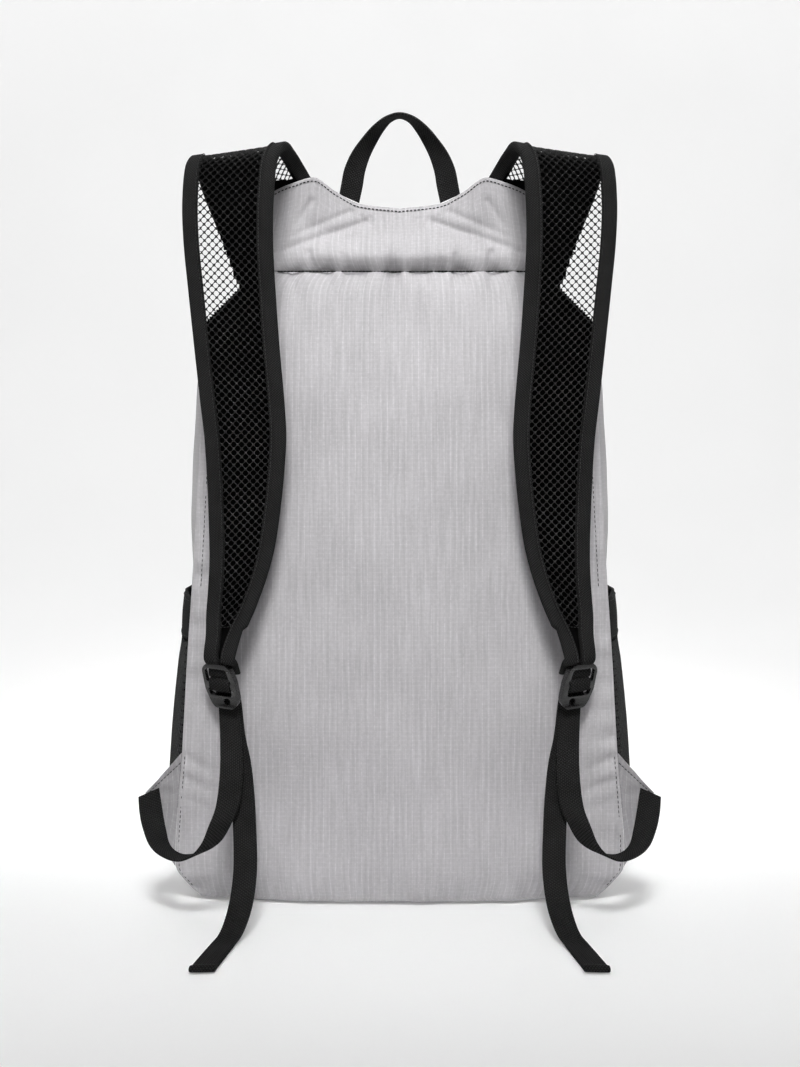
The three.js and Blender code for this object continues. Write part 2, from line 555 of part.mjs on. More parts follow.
/** Ladder-lock: a rounded frame, two windows and a lower end that curves forward. */
function buildBuckle() {
  const [w, h, r] = [BUCKLE_WIDTH / 2, BUCKLE_LENGTH / 2, BUCKLE_CORNER];
  const outline = new THREE.Shape()
    .moveTo(-w + r, -h)
    .lineTo(w - r, -h)
    .absarc(w - r, -h + r, r, -Math.PI / 2, 0, false)
    .lineTo(w, h - r)
    .absarc(w - r, h - r, r, 0, Math.PI / 2, false)
    .lineTo(-w + r, h)
    .absarc(-w + r, h - r, r, Math.PI / 2, Math.PI, false)
    .lineTo(-w, -h + r)
    .absarc(-w + r, -h + r, r, Math.PI, 1.5 * Math.PI, false);
  const windowHole = (low) => new THREE.Path()
    .moveTo(-WINDOW_WIDTH / 2, low)
    .lineTo(-WINDOW_WIDTH / 2, low + WINDOW_TALL)
    .lineTo(WINDOW_WIDTH / 2, low + WINDOW_TALL)
    .lineTo(WINDOW_WIDTH / 2, low)
    .closePath();
  outline.holes.push(windowHole(BAR_TALL / 2), windowHole(-BAR_TALL / 2 - WINDOW_TALL));
  const frame = new THREE.ExtrudeGeometry(outline, {
    depth: BUCKLE_THICK, bevelEnabled: false, curveSegments: 5,
  });
  frame.rotateX(Math.PI / 2);
  frame.translate(0, BUCKLE_THICK / 2, 0);
  const lip = new THREE.CylinderGeometry(BUCKLE_THICK * 0.7, BUCKLE_THICK * 0.7, WINDOW_WIDTH, 10);
  lip.rotateZ(Math.PI / 2);
  lip.translate(0, -BUCKLE_THICK * 0.55, -h + BUCKLE_THICK);
  return fromManifold(toManifold(frame).add(toManifold(lip))).applyMatrix4(buckleFrame);
}

const WRAP = BUCKLE_THICK / 2 + WRAP_GAP + WEBBING_THICK / 2;
const buckleAcross = vector(1, 0, 0).transformDirection(buckleFrame);

/** Strap's end loop: webbing folded round the buckle's top bar and back up to the strap. */
function buildEndLoop() {
  const barTop = BUCKLE_LENGTH / 2;
  const under = WINDOW_TOP - WRAP_GAP - WEBBING_THICK / 2;
  const route = [
    [-WRAP * 0.9, barTop + END_LOOP_TOP],
    [-WRAP, barTop - 1.5],
    [-WRAP, under + 1.4],
    [-WRAP * 0.6, under + 0.2],
    [0, under],
    [WRAP * 0.6, under + 0.2],
    [WRAP, under + 1.4],
    [WRAP, barTop - 1.5],
    [WRAP * 0.9, barTop + END_LOOP_TOP],
  ];
  return band(smoothed(route.map(([y, z]) => station(
    vector(0, y, z).applyMatrix4(buckleFrame), buckleAcross, WEBBING_WIDTH, WEBBING_THICK,
  )), 16));
}

/** Adjuster webbing: wing tab, hanging loop, buckle, free tail and folded end in one band. */
function buildAdjuster() {
  const webbing = (row) => station(
    placeOf(row), acrossOf(row), WEBBING_WIDTH, WEBBING_THICK * (row.thick ?? 1),
  );
  const threading = THREADING.map(({ up, back }) => station(
    vector(0, back * WRAP, up * BUCKLE_LENGTH).applyMatrix4(buckleFrame),
    buckleAcross, WEBBING_WIDTH, WEBBING_THICK,
  ));
  return band(smoothed([...ADJUSTER.map(webbing), ...threading, ...TAIL.map(webbing)], 108));
}

/** Wing tab: a triangle of bag cloth sewn in the side seam, its tip under the webbing. */
function buildWing() {
  const y = backY(1, (WING_TOP + WING_BOTTOM) / 2);
  const steps = 8;
  const tip = (WING_TOP + WING_BOTTOM) / 2;
  const reach = halfWidth(tip) + WING_REACH;
  const seam = Array.from({ length: steps + 1 }, (_, n) => {
    const z = THREE.MathUtils.lerp(WING_TOP, WING_BOTTOM, n / steps);
    return new THREE.Vector2(halfWidth(z) + WING_GAP, z);
  });
  const outline = new THREE.Shape([
    ...seam,
    new THREE.Vector2(reach, tip - WEBBING_WIDTH * 0.4),
    new THREE.Vector2(reach, tip + WEBBING_WIDTH * 0.75),
  ]);
  const geometry = new THREE.ExtrudeGeometry(outline, { depth: CLOTH, bevelEnabled: false });
  geometry.rotateX(Math.PI / 2);
  geometry.translate(0, y + CLOTH, 0);
  return fromManifold(toManifold(geometry));
}

/** Haul loop: webbing from one leg over the top to the other, turning as it bends. */
function buildHaulLoop() {
  const legShare = (HAUL[0].out * BAG_HALF_WIDTH) / halfWidth(SHOULDER);
  const foot = topHeight(legShare);
  const leg = HAUL.map(({ out, rise, fore, turn, lift }) => {
    const [a, b] = [radians(turn), radians(lift)];
    const across = vector(Math.cos(a) * Math.cos(b), -Math.sin(a), Math.cos(a) * Math.sin(b));
    const middle = vector(out * BAG_HALF_WIDTH, -fore * BAG_DEPTH, foot + rise * HAUL_RISE);
    return station(middle, across, WEBBING_WIDTH, HAUL_THICK);
  });
  const other = leg.slice(0, -1).map(({ middle, across, width, thick }) => station(
    vector(-middle.x, middle.y, middle.z), vector(-across.x, across.y, across.z), width, thick,
  ));
  return band(smoothed([...other, ...leg.reverse()], 36));
}

const bag = new THREE.Group();

/** Adds one named piece to the bag. */
function addPiece(name, geometry, look) {
  const mesh = new THREE.Mesh(geometry, new THREE.MeshStandardMaterial(look));
  mesh.name = name;
  bag.add(mesh);
}

/** Adds a piece and its mirror image on the other side. */
function addPair(name, geometry, look) {
  addPiece(`${name}_right`, geometry, look);
  addPiece(`${name}_left`, mirrored(geometry), look);
}

addPiece('back_panel', buildBackPanel(), GREY_CLOTH);
addPiece('yoke', buildYoke(), GREY_CLOTH);
addPiece('front_panel', buildFrontPanel(), GREY_CLOTH);
addPiece('base_panel', buildBase(), SIDE_CLOTH);
addPiece('top_gusset_back', buildTopBack(), GREY_CLOTH);
addPiece('top_gusset_front', buildTopFront(), GREY_CLOTH);
addPiece('top_zip', buildZip(), ZIP_TAPE);
addPiece('haul_loop', buildHaulLoop(), BLACK_WEBBING);
addPair('side_panel', buildSidePanel(), SIDE_CLOTH);
addPair('pocket_net', buildPocketNet(), BLACK_NET);
addPair('pocket_hem', buildPocketHem(), BLACK_TAPE);
addPair('wing_tab', buildWing(), SIDE_CLOTH);
addPair('strap_net', buildStrapNet(), BLACK_NET);
addPair('strap_binding_outer', buildOuterBinding(), BLACK_TAPE);
addPair('strap_binding_inner', buildInnerBinding(), BLACK_TAPE);
addPair('strap_end_loop', buildEndLoop(), BLACK_WEBBING);
addPair('buckle', buildBuckle(), BLACK_PLASTIC);
addPair('adjuster_webbing', buildAdjuster(), BLACK_WEBBING);

export default bag;
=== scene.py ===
"""Dressed model of a packable backpack, in metres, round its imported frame."""
import logging
import math
from dataclasses import dataclass
from enum import Enum
from typing import Optional, Sequence

import bpy
import numpy as np
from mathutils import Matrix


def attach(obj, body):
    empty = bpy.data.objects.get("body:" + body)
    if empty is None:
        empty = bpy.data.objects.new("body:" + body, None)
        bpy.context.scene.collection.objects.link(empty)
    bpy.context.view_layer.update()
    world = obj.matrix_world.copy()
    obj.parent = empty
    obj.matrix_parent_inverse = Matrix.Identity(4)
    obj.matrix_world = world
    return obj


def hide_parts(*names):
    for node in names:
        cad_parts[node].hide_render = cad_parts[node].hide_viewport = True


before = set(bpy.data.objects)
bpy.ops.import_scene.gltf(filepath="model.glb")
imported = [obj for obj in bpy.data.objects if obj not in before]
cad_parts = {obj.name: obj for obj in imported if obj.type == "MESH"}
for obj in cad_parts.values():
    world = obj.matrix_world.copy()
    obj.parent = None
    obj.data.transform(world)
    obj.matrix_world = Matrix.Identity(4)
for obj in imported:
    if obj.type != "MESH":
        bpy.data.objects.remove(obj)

log = logging.getLogger("backpack")
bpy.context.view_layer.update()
MM = 0.001
# The camera's distance from the origin and its height, and the sizes that pieces share, in mm.
EYE_DISTANCE = 1075.0
EYE_HEIGHT = 300.0
STRAP_WIDTH = 60.0
STRAP_PAD = 5.0
WEBBING_WIDTH = 15.0
ZIP_WIDTH = 7.0
ZIP_PLACE = 0.36  # share of the top's depth
CROWN_POWER = 2.4  # how flat the faces are in the middle
BODY = "root"


class Side(Enum):
    """Which half of the bag a piece is on; its value mirrors X."""

    RIGHT = 1
    LEFT = -1

    @property
    def tag(self) -> str:
        """The side's name at the end of a piece's name."""
        return self.name.lower()


# ---------------------------------------------------------------- forms of the bag, in mm


class Shares:
    """Rows of shares that are joined by curves which never overshoot a row."""

    def __init__(self, columns: str, rows: Sequence[Sequence[float]]) -> None:
        """Keeps the rows by their columns.

        Args:
            columns: names of the columns, the first one being where a row stands.
            rows: the table.
        """
        self.names = columns.split()
        self.rows = np.array(rows, float)

    def column(self, key: str) -> np.ndarray:
        """One column as it is written."""
        return self.rows[:, self.names.index(key)]

    def at(self, key: str, place: np.ndarray) -> np.ndarray:
        """Value of a column at some places.

        Args:
            key: name of the column.
            place: where along the first column.

        Returns:
            The values, in the shape of place.
        """
        x, y = self.rows[:, 0], self.column(key)
        secant = np.diff(y) / np.diff(x)
        before, after = secant[:-1], secant[1:]
        total = np.where(before * after > 0, before + after, 1.0)
        inner = np.where(before * after > 0, 2 * before * after / total, 0.0)
        slope = np.concatenate([secant[:1], inner, secant[-1:]])
        held = np.clip(place, x[0], x[-1])
        n = np.clip(np.searchsorted(x, held, side="right") - 1, 0, len(x) - 2)
        span = x[n + 1] - x[n]
        t = (held - x[n]) / span
        return (
            (2 * t**3 - 3 * t**2 + 1) * y[n]
            + (t**3 - 2 * t**2 + t) * span * slope[n]
            + (3 * t**2 - 2 * t**3) * y[n + 1]
            + (t**3 - t**2) * span * slope[n + 1]
        )


def unit(v: np.ndarray) -> np.ndarray:
    """Vectors of length one."""
    return v / np.maximum(np.linalg.norm(v, axis=-1, keepdims=True), 1e-9)


def waves(x: np.ndarray, z: np.ndarray, size: float, seed: int, count: int = 9) -> np.ndarray:
    """Smooth uneven relief, from about -1 to 1, as a sum of waves in seeded directions.

    Args:
        x: places across.
        z: places up.
        size: length of the main waves.
        seed: seed of their directions.
        count: how many there are.

    Returns:
        The relief at each place.
    """
    rng = np.random.default_rng(seed)
    total = np.zeros(np.broadcast(x, z).shape)
    for _ in range(count):
        turn, phase = rng.uniform(0, 2 * math.pi, 2)
        length = size * rng.uniform(0.7, 1.6)
        total += np.sin(2 * math.pi * (x * math.cos(turn) + z * math.sin(turn)) / length + phase)
    return total / math.sqrt(count)


@dataclass(frozen=True)
class BagForm:
    """The bag's outer form in mm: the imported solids' own, with a yoke that hangs forward."""

    height: float = 486.0
    half: float = 150.0
    depth: float = 150.0
    cloth: float = 2.0
    seam: float = 0.5
    back_crown: float = 12.0
    front_crown: float = 18.0
    side_crown: float = 11.5
    yoke_seam: float = 422.0
    roll_depth: float = 3.0
    roll_reach: float = 9.0

    sections = Shares("up half back front crown side", [
        (0.0, 0.868, 0.455, 0.455, 0.0, 0.0),
        (0.025, 0.945, 0.485, 0.485, 0.12, 0.08),
        (0.049, 0.994, 0.5, 0.5, 0.3, 0.15),
        (0.073, 0.995, 0.505, 0.505, 0.45, 0.2),
        (0.13, 0.985, 0.51, 0.51, 0.7, 0.2),
        (0.205, 0.966, 0.51, 0.51, 0.9, 0.2),
        (0.333, 0.944, 0.505, 0.5, 1.0, 0.2),
        (0.43, 0.924, 0.5, 0.49, 1.0, 0.5),
        (0.545, 0.904, 0.49, 0.46, 1.0, 1.0),
        (0.69, 0.881, 0.465, 0.405, 0.9, 1.0),
        (0.755, 0.862, 0.445, 0.365, 0.75, 0.9),
        (0.804, 0.822, 0.425, 0.325, 0.6, 0.7),
        (0.848, 0.722, 0.405, 0.28, 0.45, 0.5),
        (0.88, 0.702, 0.385, 0.24, 0.38, 0.4),
        (0.92, 0.68, 0.355, 0.18, 0.3, 0.35),
        (0.95, 0.64, 0.33, 0.14, 0.22, 0.3),
        (1.0, 0.64, 0.29, 0.07, 0.1, 0.25),
    ])
    top_edge = Shares("across up", [
        (0.0, 0.9595), (0.28, 0.966), (0.45, 0.982), (0.608, 1.0),
        (0.75, 0.992), (0.9, 0.978), (1.0, 0.95),
    ])
    # Middle (shares of half width and height), reach (shares of height), depth, lean.
    folds = (
        (-0.035, 0.83, 0.06, 0.018, 0.16, 2), (0.055, 0.83, 0.06, 0.018, 0.16, -2),
        (-0.9, 0.155, 0.05, 0.02, 0.3, 62), (0.9, 0.155, 0.05, 0.02, 0.3, -62),
        (-0.86, 0.085, 0.05, 0.02, 0.22, 78), (0.86, 0.085, 0.05, 0.02, 0.22, -78),
        (-0.33, 0.925, 0.04, 0.014, 0.14, -66), (0.33, 0.925, 0.04, 0.014, 0.14, 66),
    )

    @property
    def floor_cloth(self) -> float:
        """Height at which the panels start over the base."""
        return self.cloth + self.seam

    @property
    def shoulder(self) -> float:
        """Height of the shoulders' ends."""
        return 0.95 * self.height

    @staticmethod
    def crowned(p: np.ndarray) -> np.ndarray:
        """Share of a face's crown at a share p of its half width."""
        return 1 - np.abs(p) ** CROWN_POWER

    def half_width(self, z: np.ndarray) -> np.ndarray:
        """Half of the faces' width at a height."""
        return self.half * self.sections.at("half", np.asarray(z) / self.height)

    def top_height(self, p: np.ndarray) -> np.ndarray:
        """Height of the top edge at a share p of the width."""
        return self.height * self.top_edge.at("up", np.abs(p))

    def fold_depth(self, x: np.ndarray, z: np.ndarray) -> np.ndarray:
        """How far the main folds press the strap side in."""
        total = np.zeros(np.broadcast(x, z).shape)
        for mid, up, long, wide, deep, lean in self.folds:
            a = math.radians(lean)
            dx, dz = x - mid * self.half, z - up * self.height
            side = (dx * math.cos(a) - dz * math.sin(a)) / (wide * self.height)
            run = (dx * math.sin(a) + dz * math.cos(a)) / (long * self.height)
            total = total + deep * self.back_crown * np.exp(-side * side - run * run)
        return total

    def back_y(self, p: np.ndarray, z: np.ndarray) -> np.ndarray:
        """Y of the strap side at a share p of its half width and a height."""
        reach = self.crowned(p)
        away = (z - self.yoke_seam) / self.roll_reach
        roll = np.exp(-away * away) - np.exp(-((away - 1.6) ** 2))
        share = z / self.height
        pressed = (self.roll_depth * roll + self.fold_depth(p * self.half_width(z), z)) * reach
        crown = self.back_crown * self.sections.at("crown", share)
        flat = -self.depth * self.sections.at("back", share)
        return flat - crown * reach + pressed - self.overhang(p, z)

    def overhang(self, p: np.ndarray, z: np.ndarray) -> np.ndarray:
        """How far the yoke's shoulders, drawn by the straps, hang forward over its main crease."""
        out = np.abs(p) * self.half_width(z)
        above = np.clip(z - 457 + 0.36 * (out - 23), 0, None)
        return 0.34 * np.clip((out - 28) / 30, 0, 1) * above

    def front_y(self, p: np.ndarray, z: np.ndarray) -> np.ndarray:
        """Y of the plain side."""
        reach, share = self.crowned(p), z / self.height
        crown = self.front_crown * self.sections.at("crown", share)
        return self.depth * self.sections.at("front", share) + crown * reach

    def edge_at(self, t: np.ndarray) -> tuple[np.ndarray, np.ndarray, np.ndarray]:
        """Edge of both faces: t runs 0 to 1 up the right side, to 3 over the top, to 4 down.

        Returns:
            x, z and the share p of the half width.
        """
        far = t > 2
        near = np.where(far, 4 - t, t)
        side = near <= 1
        z_side = self.floor_cloth + (self.shoulder - self.floor_cloth) * np.clip(near, 0, 1)
        p = np.where(side, 1.0, 2 - near)
        z = np.where(side, z_side, self.top_height(p))
        x = np.where(side, self.half_width(z_side), p * self.half_width(self.shoulder))
        sign = np.where(far, -1.0, 1.0)
        return x * sign, z, p * sign

    def edge_out(self, t: np.ndarray) -> np.ndarray:
        """Direction out of the bag at that edge, seen from the front."""
        ax, az, _ = self.edge_at(np.maximum(t - 0.03, 0))
        bx, bz, _ = self.edge_at(t + 0.03)
        return unit(np.stack([bz - az, np.zeros_like(ax), ax - bx], -1))

    def gusset_at(self, t: np.ndarray, w: np.ndarray) -> np.ndarray:
        """Place on the gusset, w from 0 at the strap side to 1 at the plain side."""
        t, w = np.broadcast_arrays(np.asarray(t, float), np.asarray(w, float))
        x, z, p = self.edge_at(t)
        inset = self.cloth + self.seam
        back, front = self.back_y(p, z) + inset, self.front_y(p, z) - inset
        swell = self.side_crown * self.sections.at("side", z / self.height)
        place = np.stack([x, back + (front - back) * w, z], -1)
        over_top = (t > 1) & (t < 3)
        bow = np.sin(math.pi * w) ** np.where(over_top, 2.6, 1.0) * np.where(over_top, 0.3, 1.0)
        return place + self.edge_out(t) * (swell * bow)[..., None]

    @property
    def top_depth(self) -> float:
        """Depth of the gusset over the middle of the top."""
        return np.diff(self.gusset_at(2.0, np.array([0.0, 1.0]))[:, 1])[0]

    def on_strap_side(self, p: np.ndarray, z: np.ndarray) -> np.ndarray:
        """Places on the strap side at shares of its half width and heights."""
        return np.stack([p * self.half_width(z), self.back_y(p, z), z], -1)


BAG = BagForm()


# ---------------------------------------------------------------- bands along a curve, in mm


@dataclass
class Band:
    """Stations of a strap: its middle, the direction of its width, and its two sizes."""

    middle: np.ndarray
    across: np.ndarray
    width: np.ndarray
    thick: np.ndarray

    @property
    def normal(self) -> np.ndarray:
        """Direction of the band's thickness at each station."""
        step = np.concatenate([
            self.middle[1:2] - self.middle[:1],
            self.middle[2:] - self.middle[:-2],
            self.middle[-1:] - self.middle[-2:-1],
        ])
        return unit(np.cross(step, self.across))

    @property
    def run(self) -> np.ndarray:
        """Length along the band up to each station."""
        steps = np.linalg.norm(np.diff(self.middle, axis=0), axis=1)
        return np.concatenate([[0.0], np.cumsum(steps)])

    def smoothed(self, steps: int) -> "Band":
        """Stations spread along a centripetal curve through the given ones.

        Args:
            steps: how many spans the new band has.

        Returns:
            The new band.
        """
        p = self.middle
        p = np.concatenate([[2 * p[0] - p[1]], p, [2 * p[-1] - p[-2]]])
        spans = len(self.middle) - 1
        t = np.arange(steps + 1) / steps * spans
        n = np.minimum(t.astype(int), spans - 1)
        share = (t - n)[:, None]
        gap = np.linalg.norm(np.diff(p, axis=0), axis=1) ** 0.5
        a, b, c = gap[n][:, None], gap[n + 1][:, None], gap[n + 2][:, None]
        p0, p1, p2, p3 = p[n], p[n + 1], p[n + 2], p[n + 3]
        start = ((p1 - p0) / a - (p2 - p0) / (a + b) + (p2 - p1) / b) * b
        end = ((p2 - p1) / b - (p3 - p1) / (b + c) + (p3 - p2) / c) * b
        middle = (
            p1 + start * share
            + (3 * (p2 - p1) - 2 * start - end) * share**2
            + (2 * (p1 - p2) + start + end) * share**3
        )
        lerp = lambda v: v[n] + (v[n + 1] - v[n]) * (share if v.ndim > 1 else share[:, 0])
        return Band(middle, unit(lerp(self.across)), lerp(self.width), lerp(self.thick))

    def part(self, first: float, last: float, steps: int) -> "Band":
        """The stretch between two shares of the stations, with its own number of spans."""
        at = np.linspace(first, last, steps + 1) * (len(self.middle) - 1)
        pick = lambda v: np.stack([np.interp(at, np.arange(len(v)), c) for c in v.T], -1)
        flat = lambda v: np.interp(at, np.arange(len(v)), v)
        return Band(pick(self.middle), unit(pick(self.across)), flat(self.width), flat(self.thick))

    def strip(self, low: np.ndarray, high: np.ndarray, thick: float, lift: float = 0.0) -> "Band":
        """A narrower band between two places across this one.

        Args:
            low: where it starts, from the middle.
            high: where it ends.
            thick: its thickness.
            lift: how far it stands off along the normal.

        Returns:
            The new band.
        """
        middle = self.middle + self.across * ((low + high) / 2)[:, None] + self.normal * lift
        return Band(middle, self.across, high - low, np.full(len(middle), float(thick)))


def direction(tilt: np.ndarray, yaw: np.ndarray) -> np.ndarray:
    """Direction of a band's width, from its tilt and yaw in degrees."""
    a, b = np.radians(tilt), np.radians(yaw)
    return np.stack([np.cos(a) * np.cos(b), -np.sin(b), -np.sin(a) * np.cos(b)], -1)


def stations(table: Shares, width: float, thick: float) -> Band:
    """Band through a table of shares of the bag's half width, height and depth."""
    get = table.column
    middle = np.stack([get("out") * BAG.half, -get("fore") * BAG.depth, get("up") * BAG.height], -1)
    wide = get("wide") if "wide" in table.names else np.ones(len(middle))
    many = get("thick") if "thick" in table.names else np.ones(len(middle))
    return Band(middle, direction(get("tilt"), get("yaw")), wide * width, many * thick)


# ---------------------------------------------------------------- meshes


def new_piece(name: str, points: np.ndarray, groups: Sequence[np.ndarray], cloth: np.ndarray,
              flip: bool = False) -> bpy.types.Object:
    """A smooth mesh object whose faces come in groups with different numbers of corners.

    Args:
        name: name of the piece.
        points: vertices in mm.
        groups: for each group, one row of vertex numbers for each face.
        cloth: place on the flat cloth of each vertex, in metres, kept as a UV map.
        flip: whether the faces are turned round.

    Returns:
        The new object, at the origin.
    """
    mesh = bpy.data.meshes.new(name)
    groups = [g[:, ::-1] if flip else g for g in groups]
    loops = np.concatenate([g.ravel() for g in groups])
    sizes = np.concatenate([np.full(len(g), g.shape[1]) for g in groups])
    starts = np.concatenate([[0], np.cumsum(sizes)[:-1]])
    mesh.vertices.add(len(points))
    mesh.vertices.foreach_set("co", (points * MM).astype(np.float32).ravel())
    mesh.loops.add(len(loops))
    mesh.loops.foreach_set("vertex_index", loops.astype(np.int32))
    mesh.polygons.add(len(sizes))
    mesh.polygons.foreach_set("loop_start", starts.astype(np.int32))
    mesh.polygons.foreach_set("use_smooth", np.full(len(sizes), True))
    layer = mesh.uv_layers.new(name="cloth")
    layer.data.foreach_set("uv", cloth[loops].astype(np.float32).ravel())
    mesh.update(calc_edges=True)
    mesh.validate()
    piece = bpy.data.objects.new(name, mesh)
    bpy.context.scene.collection.objects.link(piece)
    return piece


def grid_faces(rows: int, columns: int, around: bool = False) -> np.ndarray:
    """Quads of a grid of points; around joins the last column to the first."""
    v, u = np.meshgrid(np.arange(rows - 1), np.arange(columns - (not around)), indexing="ij")
    right = (u + 1) % columns
    corners = [v * columns + u, v * columns + right, (v + 1) * columns + right, (v + 1) * columns + u]
    return np.stack(corners, -1).reshape(-1, 4)


def spread(places: np.ndarray) -> np.ndarray:
    """Flat place of each point of a grid of points, in metres, by its lengths both ways."""
    across = np.linalg.norm(np.diff(places, axis=1), axis=2)
    along = np.linalg.norm(np.diff(places, axis=0), axis=2)
    u = np.concatenate([np.zeros((len(places), 1)), np.cumsum(across, 1)], 1)
    middle = u[:, u.shape[1] // 2][:, None]
    v = np.concatenate([np.zeros((1, places.shape[1])), np.cumsum(along, 0)], 0)
    return np.stack([u - middle, np.broadcast_to(v.mean(1, keepdims=True), u.shape)], -1) * MM


def wall(name: str, places: np.ndarray, thick: float, flip: bool = False,
         cloth: Optional[np.ndarray] = None) -> bpy.types.Object:
    """A sheet of cloth over a grid of places, with its thickness added behind it.

    Args:
        name: name of the piece.
        places: rows and columns of points of its outer face, in mm.
        thick: thickness in mm.
        flip: whether the outer face is the other one.
        cloth: flat place of each point, if it isn't read from the grid.

    Returns:
        The closed piece.
    """
    rows, columns = places.shape[:2]
    flat = spread(places) if cloth is None else cloth
    piece = new_piece(name, places.reshape(-1, 3), [grid_faces(rows, columns)],
                      flat.reshape(-1, 2), flip)
    solid = piece.modifiers.new("thickness", "SOLIDIFY")
    solid.thickness, solid.offset = thick * MM, -1.0
    return applied(piece)


def select_only(piece: bpy.types.Object) -> None:
    """Makes a piece the only selected one, and the active one."""
    for other in bpy.context.selected_objects:
        other.select_set(False)
    bpy.context.view_layer.objects.active = piece
    piece.select_set(True)


def applied(piece: bpy.types.Object) -> bpy.types.Object:
    """The piece with its modifiers applied."""
    select_only(piece)
    for modifier in list(piece.modifiers):
        bpy.ops.object.modifier_apply(modifier=modifier.name)
    piece.select_set(False)
    return piece


def mirror(points: np.ndarray, side: Side) -> np.ndarray:
    """Points on the given half of the bag, from those of the right half."""
    return points * np.array([side.value, 1, 1])


def rounded_ring(round_share: float, turn: int, flats: int, width: float,
                 thick: float) -> np.ndarray:
    """Cross-section of a band with round edges, as shares of its half sizes.

    Args:
        round_share: radius of its edges as a share of half the thickness.
        turn: points round each quarter.
        flats: points along each flat.
        width: width of the band.
        thick: thickness of the band.

    Returns:
        The ring's points.
    """
    r = round_share * thick / 2
    corners = []
    for sx, sy, start in ((1, 1, 0), (-1, 1, 90), (-1, -1, 180), (1, -1, 270)):
        a = np.radians(start + np.linspace(0, 90, turn))
        corners.append(np.stack([sx * (width / 2 - r) + r * np.cos(a),
                                 sy * (thick / 2 - r) + r * np.sin(a)], -1))
    ring = []
    for n, corner in enumerate(corners):
        ring.append(corner)
        after = corners[(n + 1) % 4][0]
        if flats and n in (0, 2):
            s = np.linspace(0, 1, flats + 2)[1:-1, None]
            ring.append(corner[-1] + (after - corner[-1]) * s)
    return np.concatenate(ring) / [width / 2, thick / 2]


def stitches(name: str, path: np.ndarray, out: np.ndarray, pitch: float, length: float,
             radius: float = 0.26, side: Side = Side.RIGHT, sunk: float = 0.3) -> bpy.types.Object:
    """A row of sewn stitches that lie on a surface.

    Args:
        name: name of the piece.
        path: places along the seam, in mm.
        out: direction out of the surface at each place.
        pitch: distance from stitch to stitch.
        length: length of one stitch.
        radius: radius of its thread.
        side: the half of the bag that it is on.
        sunk: share of the radius that lies under the surface at the ends.

    Returns:
        One piece with all the stitches.
    """
    run = np.concatenate([[0.0], np.cumsum(np.linalg.norm(np.diff(path, axis=0), axis=1))])
    count = max(int(run[-1] / pitch), 1)
    at = (np.arange(count) + 0.5) * run[-1] / count
    look = lambda v, s: np.stack([np.interp(s, run, c) for c in v.T], -1)
    middle, normal = look(path, at), unit(look(out, at))
    forward = unit(look(path, at + length / 2) - look(path, at - length / 2))
    across = np.cross(forward, normal)
    rings = np.array([[-1, 0.45, -0.9], [-0.8, 0.85, -0.2], [0, 1, 0.35],
                      [0.8, 0.85, -0.2], [1, 0.45, -0.9]])
    a = np.arange(6) / 6 * 2 * math.pi
    along = rings[:, None, 0] * length / 2 * np.ones(6)
    wide = rings[:, None, 1] * radius * np.cos(a)
    lift = rings[:, None, 1] * radius * np.sin(a) + (rings[:, None, 2] + 1 - sunk) * radius * 0.8
    shape = np.stack([along, wide, lift], -1).reshape(-1, 3)
    points = (middle[:, None] + shape[None, :, :1] * forward[:, None]
              + shape[None, :, 1:2] * across[:, None] + shape[None, :, 2:] * normal[:, None])
    body = grid_faces(5, 6, around=True)
    cap = np.array([[0, 1, 2, 3], [3, 4, 5, 0], [24, 27, 26, 25], [27, 24, 29, 28]])
    one = np.concatenate([body, cap])
    faces = (one[None] + (np.arange(count) * 30)[:, None, None]).reshape(-1, 4)
    flat = np.stack(np.broadcast_arrays(shape[None, :, 1], at[:, None] + shape[None, :, 0]), -1)
    return new_piece(name, mirror(points.reshape(-1, 3), side), [faces],
                     flat.reshape(-1, 2) * MM, side is Side.RIGHT)


def net_cell(cell: tuple, rings: Sequence[tuple]) -> tuple[np.ndarray, np.ndarray]:
    """One hole of a net, square outside and round inside.

    Args:
        cell: half of its size across and along.
        rings: size, roundness and height of each ring of points, from the outermost in.

    Returns:
        Run, place across and height of its points, and its quads.
    """
    across, along = cell
    corner = np.arange(8) / 8 * 2 * math.pi
    square = np.abs(np.cos(corner)) + np.abs(np.sin(corner))
    points = []
    for share, soft, lift in rings:
        reach = share * ((1 - soft) / square + soft)
        points.append(np.stack([reach * np.sin(corner) * along, reach * np.cos(corner) * across,
                                np.full(8, lift)], -1))
    return np.concatenate(points), grid_faces(len(rings), 8, around=True)


def stands(piece: bpy.types.Object, look: bpy.types.Material, slot: str,
           *nodes: str) -> bpy.types.Object:
    """Dresses a piece, sets it on the bag's body and hides the CAD nodes that it stands for.

    Args:
        piece: the finished piece.
        look: its material.
        slot: the record's material slot; not used.
        nodes: CAD nodes that it replaces.

    Returns:
        The same piece.
    """
    piece.data.materials.clear()
    piece.data.materials.append(look)
    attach(piece, BODY)
    if nodes:
        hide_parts(*nodes)
    log.info("%s: %d faces", piece.name, len(piece.data.polygons))
    return piece


# ---------------------------------------------------------------- finishes


